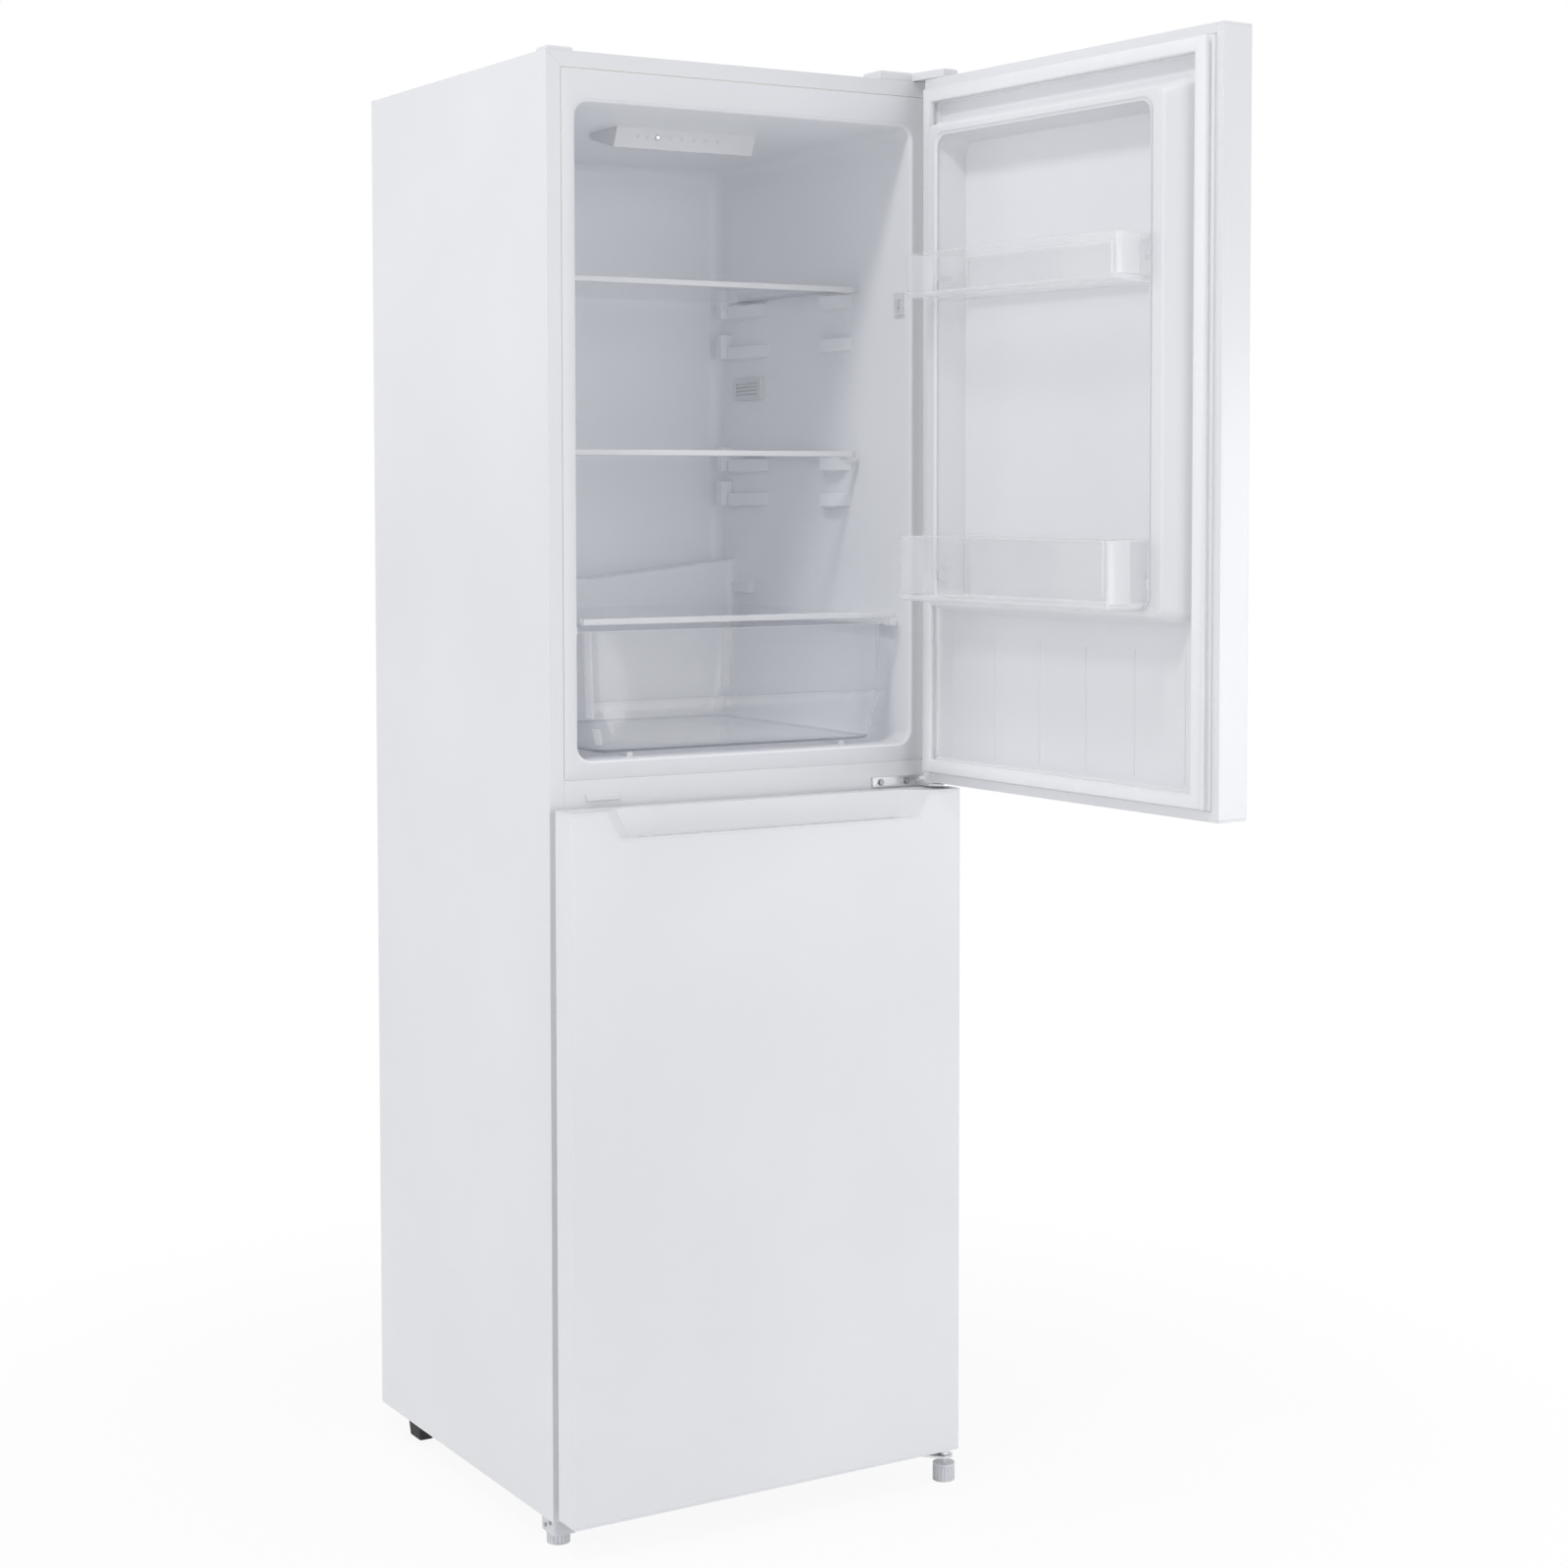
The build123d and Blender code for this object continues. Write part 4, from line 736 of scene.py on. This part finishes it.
def roundedRise(outer, inner, y0, y1, foot, shoulder):
    # frames that climb from outer at y0 to inner at y1 with a filleted foot and shoulder
    climb = y1 - y0
    made = []
    total = abs(outer[0] - inner[0])
    shares = [k / 5 for k in range(6)]
    stops = [(-foot * (1 - s) / total, foot * s * s * 0.5 / climb) for s in shares]
    stops += [(1 + shoulder * s / total, 1 - shoulder * (1 - s) ** 2 * 0.5 / climb) for s in shares]
    for across, up in stops:
        half, z0, z1, radius = (a + (b - a) * across for a, b in zip(outer, inner))
        made.append((half, z0, z1, max(radius, 1.0), y0 + climb * up))
    return made


def makeFridgeDoorPanel():
    d, rib, lug = dikeLook, ribLook, lugLook
    low, high = nodeBox("fridge_door_liner")
    face = nodeBox("fridge_door_seal")[0].y
    z0, z1 = low.z + d["bottomUp"], high.z - d["topDown"]
    crest = face + d["high"]
    base = (d["baseHalf"], z0, z1, d["round"])
    top = (d["crestHalf"], z0 + d["footSlope"], z1 - d["topSlope"], d["round"])
    pocketLow, pocketHigh = z0 + d["pocketBottomUp"], z1 - d["pocketTopDown"]
    pocketTop = (d["pocketCrest"], pocketLow, pocketHigh + d["pocketSlope"], d["round"])
    pocketBase = (d["pocketBase"], pocketLow + 0.5, pocketHigh, d["round"])
    pocket = roundedRise(pocketBase, pocketTop, face, crest, -d["pocketFoot"], -d["pocketShoulder"])
    frames = roundedRise(base, top, face, crest, d["foot"], d["shoulder"]) + pocket[::-1]
    mesh = bmesh.new()
    addDoorPanel(mesh, low, high, frames, face)
    for k in range(rib["count"]):
        x = (k - (rib["count"] - 1) / 2) * rib["apart"]
        strip = rectangle(x - rib["halfWide"], x + rib["halfWide"], low.z + rib["start"],
                          low.z + rib["end"])
        addPrism(mesh, strip, "y", face - 0.5, face + rib["high"])
    for rack in ("rack_upper", "rack_lower"):
        rackLow, rackHigh = nodeBox(rack)
        top = rackLow.z + (rackHigh.z - rackLow.z) * rackLook["hookUp"] - lug["gap"]
        for side in (-1, 1):
            plan = rectangle(*sorted((side * lug["inner"], side * lug["outer"])),
                             rackLow.y + lug["front"], rackLow.y + lug["back"])
            addPrism(mesh, plan, "z", top - lug["long"], top)
    finishPiece("fridgeDoorPanel", mesh, "fridge_door", "liner_plastic", door=True,
                material=own["doorPlastic"], replaces=["fridge_door_liner"])


freezerPanelLook = {"baseHalf": 228.0, "crestHalf": 222.0, "bottomUp": 41.5, "topDown": 43.0,
                    "slope": 6.0, "round": 14.0, "foot": 4.0, "shoulder": 3.0}


def makeFreezerDoorPanel():
    d = freezerPanelLook
    low, high = nodeBox("freezer_door_liner")
    face = nodeBox("freezer_door_seal")[0].y
    z0, z1 = low.z + d["bottomUp"], high.z - d["topDown"]
    base = (d["baseHalf"], z0, z1, d["round"])
    top = (d["crestHalf"], z0 + d["slope"], z1 - d["slope"], d["round"])
    frames = roundedRise(base, top, face, high.y, d["foot"], d["shoulder"])
    mesh = bmesh.new()
    addDoorPanel(mesh, low, high, frames, face)
    finishPiece("freezerDoorPanel", mesh, "freezer_door", "liner_plastic",
                material=own["doorPlastic"], replaces=["freezer_door_liner"])


# how far in from the rim, and y over the panel
sealLook = {"profile": [(0.0, 0.0), (0.0, 2.2), (0.8, 3.4), (5.2, 3.9), (5.8, 5.0), (4.6, 6.6),
                        (2.6, 7.8), (1.7, 9.4), (1.5, 12.4), (2.2, 14.2), (3.6, 15.2), (16.4, 15.2),
                        (17.8, 14.2), (18.5, 12.4), (18.3, 9.4), (17.4, 7.8), (15.4, 6.6),
                        (14.2, 5.0), (14.8, 3.9), (19.2, 3.4), (20.0, 2.2), (20.0, 0.0)]}


def makeSeal(node, name, body, door):
    # hollow bulb on a barbed base, mitred at its corners
    low, high = nodeBox(node)
    rings = []
    for across, up in sealLook["profile"]:
        x, z0, z1, y = high.x - across, low.z + across, high.z - across, low.y + up
        rings.append([(-x, y, z0), (x, y, z0), (x, y, z1), (-x, y, z1)])
    mesh = bmesh.new()
    skinRings(mesh, rings, closeUp=True)
    finishPiece(name, mesh, body, "seal_rubber", door=door, replaces=[node], sharp=50)


# ---- clear mouldings

rimHigh = 1.2  # how much of a wall's top counts as its rim


def addTub(mesh, planAt, z0, z1, wall, foot, levels=(), lip=0.6):
    # an open thin-walled box; planAt(z, inset) gives its outline
    rings = []
    for a in arc(5):
        rings.append((z0 + foot * (1 - math.cos(a)), foot * (1 - math.sin(a))))
    for z in levels:
        rings.append((z, 0.0))
    rings += [(z1 - lip, 0.0), (z1 - lip * 0.3, lip * 0.3), (z1, lip)]
    rings += [(z1, wall - lip), (z1 - lip * 0.3, wall - lip * 0.3), (z1 - lip, wall)]
    for z in reversed(levels):
        rings.append((z, wall))
    inner = max(foot - wall, 1.0)
    for a in reversed(arc(5)):
        rings.append((z0 + wall + inner * (1 - math.cos(a)), wall + inner * (1 - math.sin(a))))
    skinRings(mesh, [[(p.x, p.y, z) for p in planAt(z, d)] for z, d in rings], capFirst=True,
              capLast=True)


def markEdges(mesh, z0, z1, foot, below=1, bandFrom=None):
    # rims, upright corners, the foot and the sides behind bandFrom take the second finish, a milky one that paints
    # highlights on them;
    # with below=2 only a thin line low on the foot is marked, with the third, a darker one that paints a shade
    # line
    bmesh.ops.recalc_face_normals(mesh, faces=mesh.faces)
    for face in mesh.faces:
        n, at = face.normal, face.calc_center_median()
        onRim = at.z > z1 - rimHigh
        onCorner = 0.6 < abs(n.x) < 0.8 and abs(n.z) < 0.2
        onBand = bandFrom is not None and at.y > bandFrom and abs(n.x) > 0.9 and at.z > z0 + foot
        if below == 1:
            onFoot = at.z < z0 + foot and 0.2 < abs(n.z) < 0.93
        else:
            onFoot = at.z < z0 + foot * 0.45 and -0.93 < n.z < -0.5
        if onRim or onCorner or onBand:
            face.material_index = 1
        elif onFoot:
            face.material_index = below


def makeRack(node, name):
    r = rackLook
    low, high = nodeBox(node)
    rearHalf = high.x - r["splay"]
    outline = [(-rearHalf, low.y), (rearHalf, low.y), (high.x, high.y), (-high.x, high.y)]
    bandFrom = high.y - r["band"]

    def planAt(z, amount):
        # splayed plan, its sides cut where the band of painted highlight begins
        radii = [r["rearRound"], r["rearRound"], r["frontRound"], r["frontRound"]]
        plan = roundCorners(inset(outline, amount), [max(q - amount, 0.5) for q in radii], 7)
        cut = []
        for here, after in zip(plan, plan[1:] + plan[:1]):
            cut.append(here)
            if min(here.y, after.y) < bandFrom < max(here.y, after.y):
                cut.append(here.lerp(after, (bandFrom - here.y) / (after.y - here.y)))
        return cut

    mesh = bmesh.new()
    addTub(mesh, planAt, low.z, high.z, r["wall"], r["foot"])
    # rims, corners, the foot and the band at the end take painted highlights
    markEdges(mesh, low.z, high.z, r["foot"], bandFrom=bandFrom)
    hook = low.z + (high.z - low.z) * r["hookUp"]
    for side in (-1, 1):
        bar = rectangle(*sorted((side * (rearHalf + r["hookIn"]), side * r["hookOut"])),
                        low.y + r["hookFront"], low.y + r["hookBack"])
        addPrism(mesh, bar, "z", hook, hook + r["hookHigh"])
    finishPiece(name, mesh, node, "clear_plastic", door=True, replaces=[node], sharp=40,
                more=[own["clearEdge"]])


# halves: share of the height, and half the width there
# lip: y from the drawer's foremost edge, z from the lip's height
crisperLook = {"halves": [(0.0, 198.0), (0.2, 204.0), (0.29, 212.0), (1.0, 215.0)], "round": 26.0,
               "wall": 2.5, "foot": 10.0, "ledgeOut": 8.0, "lipUp": 0.41, "lipHalf": 206.0,
               "lip": [(9.0, 3.0), (1.2, 3.0), (0.0, 1.8), (0.0, -9.0), (2.5, -9.0), (2.5, 0.0),
                       (9.0, 0.0)],
               "railInner": 213.0, "railOuter": 218.0, "railInset": 14.0, "railHigh": 3.0}


def makeCrisper():
    c = crisperLook
    low, high = nodeBox("crisper_drawer")
    front = low.y + c["ledgeOut"]
    tall = high.z - low.z

    def halfAt(z):
        t = (z - low.z) / tall
        for (a, wa), (b, wb) in zip(c["halves"], c["halves"][1:]):
            if t <= b:
                return wa + (wb - wa) * (t - a) / (b - a)
        return c["halves"][-1][1]

    def planAt(z, amount):
        w = halfAt(z) - amount
        return roundCorners(rectangle(-w, w, front + amount, high.y - amount),
                            [max(c["round"] - amount, 1.0)] * 4, 8)

    mesh = bmesh.new()
    levels = [low.z + tall * t for t, w in c["halves"][1:-1]]
    addTub(mesh, planAt, low.z, high.z, c["wall"], c["foot"], levels)
    # rims and upright corners take painted highlights, a thin line low on the foot a painted shade line
    markEdges(mesh, low.z, high.z, c["foot"], 2)
    finishPiece("crisperTub", mesh, "crisper_drawer", "clear_plastic", replaces=["crisper_drawer"],
                sharp=40, material=own["crisperClear"], more=[own["clearEdge"], own["darkEdge"]])
    mesh = bmesh.new()
    lip = [(low.y + y, low.z + tall * c["lipUp"] + z) for y, z in c["lip"]]
    addPrism(mesh, lip, "x", -c["lipHalf"], c["lipHalf"])
    bmesh.ops.recalc_face_normals(mesh, faces=mesh.faces)
    # top faces of the lip and the rails take the darker clear finish: a painted shade line
    for face in mesh.faces:
        face.material_index = 1 if face.normal.z > 0.9 else 0
    for side in (-1, 1):
        rail = rectangle(*sorted((side * c["railInner"], side * c["railOuter"])),
                         front + c["railInset"], high.y - c["railInset"])
        addPrism(mesh, rail, "z", high.z - c["railHigh"], high.z)
    finishPiece("crisperFingerLip", mesh, "crisper_drawer", "clear_plastic", 0.5, 2,
                replaces=["crisper_drawer"], more=[own["darkEdge"]])


shelfLook = {"barDeep": 9.0, "capLong": 5.0, "sideWide": 4.0, "rearWide": 8.0, "stripUp": 3.0,
             "stripHigh": 3.0}


def makeShelfRim(node, name, body):
    # white front bar with grey ends, thin strips along the sides in the darker clear finish that paints a shade
    # line, and a thin clear strip along the back
    low, high = nodeBox(node)
    k = shelfLook
    half, bar = high.x, low.y + k["barDeep"]
    inner = half - k["sideWide"]
    mesh = bmesh.new()
    addBlock(mesh, -half + k["capLong"], half - k["capLong"], low.y, bar, low.z, high.z)
    finishPiece(name + "Bar", mesh, body, "white_plastic", 1.0, 3, replaces=[node])
    mesh = bmesh.new()
    for side in (-1, 1):
        addBlock(mesh, *sorted((side * half, side * (half - k["capLong"]))), low.y, bar, low.z,
                 high.z)
    finishPiece(name + "EndCaps", mesh, body, "grey_plastic", 1.0, 3, replaces=[node])
    mesh = bmesh.new()
    strip = (low.z + k["stripUp"], low.z + k["stripUp"] + k["stripHigh"])
    for side in (-1, 1):
        addBlock(mesh, *sorted((side * half, side * inner)), bar, high.y, *strip)
    finishPiece(name + "SideStrips", mesh, body, "clear_plastic", 0.5, 2, material=own["darkEdge"],
                replaces=[node])
    mesh = bmesh.new()
    addBlock(mesh, -inner, inner, high.y - k["rearWide"], high.y, *strip)
    finishPiece(name + "RearStrip", mesh, body, "clear_plastic", 0.5, 2, replaces=[node])


# the control box's leaning face, the marks along it, and the lit dot (radius, y from the button)
panelLook = {"faceTop": 1719.0, "faceLow": 1691.0, "faceFront": 154.0, "lean": 12.0,
             "markHeight": 1705.0, "marks": (-68.0, -55.0, -22.0, -6.0, 12.0, 28.0, 46.0),
             "dot": 2.2, "triangle": [(-2.6, -2.2), (2.6, -2.2), (0.0, 2.4)], "dashHalf": 3.2,
             "dashes": ((0.6, 1.8), (-1.8, -0.6)), "sunk": 0.4, "proud": 0.15, "lampAt": -40.0,
             "lamp": [(1.2, 0.5), (1.2, -0.25), (0.9, -0.5), (0.5, -0.6)]}


def makePanelMarks():
    # faint plain marks either side of the button, lying on the leaning face, and the lit dot
    k = panelLook

    def onFace(x, z, out):
        drop = (k["faceTop"] - z) / (k["faceTop"] - k["faceLow"])
        return (x, k["faceFront"] + k["lean"] * drop - out, z)

    def addMark(x, outline):
        rings = [[onFace(x + across, k["markHeight"] + z, out) for across, z in outline]
                 for out in (-k["sunk"], k["proud"])]
        skinRings(mesh, rings, capFirst=True, capLast=True)

    turns = [2 * math.pi * j / 20 for j in range(20)]
    dot = [(k["dot"] * math.cos(a), k["dot"] * math.sin(a)) for a in turns]
    dashes = [rectangle(-k["dashHalf"], k["dashHalf"], z0, z1) for z0, z1 in k["dashes"]]
    mesh = bmesh.new()
    for number, x in enumerate(k["marks"]):
        for outline in ([dot], [k["triangle"]], dashes)[number % 3]:
            addMark(x, outline)
    finishPiece("panelMarks", mesh, "cabinet", "grey_plastic", material=own["markInk"])
    mesh = bmesh.new()
    front = nodeBox("control_button")[0].y
    addTurned(mesh, k["lamp"], (k["lampAt"], front, k["markHeight"]), "y", 24)
    finishPiece("buttonLamp", mesh, "control_button", "frosted_plastic", material=own["pilotLamp"])


print("helpers ready")
makeFridgeLiner()
makeFreezerLiner()
makeFridgeDoorPanel()
makeFreezerDoorPanel()
makeSeal("fridge_door_seal", "fridgeDoorSeal", "fridge_door", True)
makeSeal("freezer_door_seal", "freezerDoorSeal", "freezer_door", False)
makeRack("rack_upper", "rackUpper")
makeRack("rack_lower", "rackLower")
makeCrisper()
makeShelfRim("shelf_upper_rim", "shelfUpper", "shelf_upper")
makeShelfRim("shelf_lower_rim", "shelfLower", "shelf_lower")
makePanelMarks()
print("liners, seals and clear mouldings made")

# ---- CAD pieces that keep their shape and get rounded edges: bevel in mm, segments
softened = {
    "side_panel_left": (0.5, 3), "side_panel_right": (0.5, 3), "top_panel": (0.4, 3),
    "back_panel": (0.3, 2), "base_plate": (0.3, 2), "crossbar": (0.5, 2),
    "crossbar_cover": (1.0, 3), "top_hinge": (0.5, 2), "top_hinge_cover": (1.2, 3),
    "middle_hinge": (0.5, 2), "bottom_hinge": (0.5, 2), "foot_bracket_left": (1.2, 3),
    "top_left_cover": (1.0, 3), "foot_right": (0.5, 2), "foot_left": (0.5, 2),
    "rear_feet": (1.5, 3), "control_box": (1.0, 3), "control_lens": (0.4, 2),
    "control_button": (0.5, 3), "sensor_cover": (0.6, 2), "door_switch": (0.5, 2),
    "shelf_upper_glass": (0.5, 2), "shelf_lower_glass": (0.5, 2), "crisper_cover": (0.6, 2),
    "freezer_plates": (0.6, 2), "freezer_drawer_bottom": (0.8, 2),
    "freezer_drawer_middle": (0.8, 2), "freezer_drawer_top": (0.8, 2),
    "fridge_door_skin": (0.3, 2), "fridge_door_cap_top": (0.7, 3),
    "fridge_door_cap_bottom": (0.7, 3), "freezer_door_skin": (0.3, 2),
    "freezer_door_cap_top": (0.7, 3), "freezer_door_cap_bottom": (0.7, 3), "compressor": (1.0, 3),
    "compressor_rail": (0.4, 2), "compressor_grommets": (1.0, 3), "relay_cover": (1.0, 2),
    "evaporation_tray": (0.6, 2), "filter_drier": (0.8, 2), "power_gland": (0.8, 2),
    "drain_tube": (0.3, 1),
}
for node, (width, segments) in softened.items():
    plain = "".join(w.capitalize() for w in node.split("_"))
    fromFrame(node, plain[0].lower() + plain[1:], width, segments)
for node in ("cabinet_foam", "fridge_door_foam", "freezer_door_foam", "refrigerant_pipes"):
    kept = frame["nodes"][node]
    kept.data.materials.clear()
    kept.data.materials.append(finishes[slotOf[node]])
    kept.data.shade_smooth()
    kept.data.set_sharp_from_angle(angle=math.radians(sharpFrom))
trimLift = 4.0  # the photographed trim stands a little above the crisper's cover
fromFrame("switch_plunger", "switchPlunger", 0.6, material=finishes["grey_plastic"])
fromFrame("cabinet_screws", "cabinetScrews", 0.35, material=own["screwSteel"])
# the trim takes the milky finish that elsewhere paints highlights, here as its own tone
trim = fromFrame("crisper_cover_trim", "crisperCoverTrim", 0.4, material=own["clearEdge"])
trim.data.transform(Matrix.Translation((0, 0, trimLift * mm)))
print("frame pieces softened:", len(softened), "and three with a finish of their own")


# ---- stage, light and camera

# metres; near the part the paper is floorTone of the way to pure white, past farShade all the way
stageLook = {"floorSize": 30.0, "nearShade": 0.4, "farShade": 1.5, "floorTone": 0.90,
             "paper": (0.86, 0.86, 0.86), "roughness": 0.85, "grainSize": 60.0, "duller": 0.05}


def makeFloor():
    look = stageLook
    f = Finish("paperFloor")
    spot = f.add("ShaderNodeVectorMath", {"operation": "LENGTH"}, {0: f.place()}).out("Value")
    rough = look["roughness"] + f.noise(look["grainSize"], 2) * look["duller"]
    matte = f.coat(Base_Color=rgba(*look["paper"]), Roughness=rough)
    white = f.add("ShaderNodeEmission", None, {"Color": rgba(1, 1, 1), "Strength": 1.0}).out()
    farther = spot.between(look["nearShade"], look["farShade"], 0.0, 1 - look["floorTone"])
    shown = f.mix((look["floorTone"] + farther) * f.seenRay(), matte, white)
    bpy.ops.mesh.primitive_grid_add(x_subdivisions=8, y_subdivisions=8, size=look["floorSize"])
    floor = bpy.context.object
    floor.name = "paperFloor"
    floor.data.materials.append(f.show(shown))


worldLook = {"light": (0.95, 0.96, 1.0), "strength": 0.59}


def makeWorld():
    # soft light from all round; what is looked at straight or in a glint is plain white
    world = bpy.data.worlds.new("softRoom")
    bpy.context.scene.world = world
    f = Finish("softRoom", world)
    light = {"Color": rgba(*worldLook["light"]), "Strength": worldLook["strength"]}
    room = f.add("ShaderNodeBackground", None, light).out()
    white = f.add("ShaderNodeBackground", None, {"Color": rgba(1, 1, 1), "Strength": 1.0}).out()
    f.show(f.mix(f.seenRay(), room, white))


# places and sizes in metres, power in watts
lampLook = {
    "keyAbove": {"at": (-1.55, -1.26, 3.9), "aim": (0.2, -0.26, 1.4), "wide": 0.5, "high": 0.5,
                 "power": 26},
    "frontSoftbox": {"at": (0.3, -3.9, 1.3), "aim": (0.0, -0.26, 1.0), "wide": 2.0, "high": 2.0,
                     "power": 23.5},
    "sideSoftbox": {"at": (-4.0, 0.4, 1.7), "aim": (-0.27, 0.0, 1.3), "wide": 1.6, "high": 2.2,
                    "power": 38},
    "rightSoftbox": {"at": (1.9, -2.2, 1.0), "aim": (0.1, -0.4, 0.4), "wide": 1.0, "high": 1.0,
                     "power": 10},
}


def makeLamps():
    for name, look in lampLook.items():
        data = bpy.data.lights.new(name, "AREA")
        data.shape, data.size, data.size_y = "RECTANGLE", look["wide"], look["high"]
        data.energy = look["power"]
        lampObject = bpy.data.objects.new(name, data)
        lampObject.location = look["at"]
        aim = Vector(look["aim"]) - Vector(look["at"])
        lampObject.rotation_euler = aim.to_track_quat("-Z", "Y").to_euler()
        bpy.context.scene.collection.objects.link(lampObject)


# at in metres, turn and down in degrees, lens and sensor in mm
cameraLook = {"at": (-1.7084, -3.2257, 1.2670), "turn": 31.662, "down": 2.984, "lens": 64.247,
              "sensor": 36.0, "shiftX": -0.0311, "shiftY": -0.09595}


def makeCamera():
    c = cameraLook
    data = bpy.data.cameras.new("camera")
    data.lens, data.sensor_width = c["lens"], c["sensor"]
    data.shift_x, data.shift_y = c["shiftX"], c["shiftY"]
    camera = bpy.data.objects.new("camera", data)
    camera.location = c["at"]
    camera.rotation_euler = (math.radians(90 - c["down"]), 0, math.radians(-c["turn"]))
    bpy.context.scene.collection.objects.link(camera)
    bpy.context.scene.camera = camera


makeFloor()
makeWorld()
makeLamps()
makeCamera()
bpy.context.scene.view_settings.view_transform = "Standard"
# enough light bounces for a deep white hollow seen through several clear walls
bpy.context.scene.cycles.transparent_max_bounces = 24
bpy.context.scene.cycles.diffuse_bounces = 8
print("stage, lamps and camera placed")
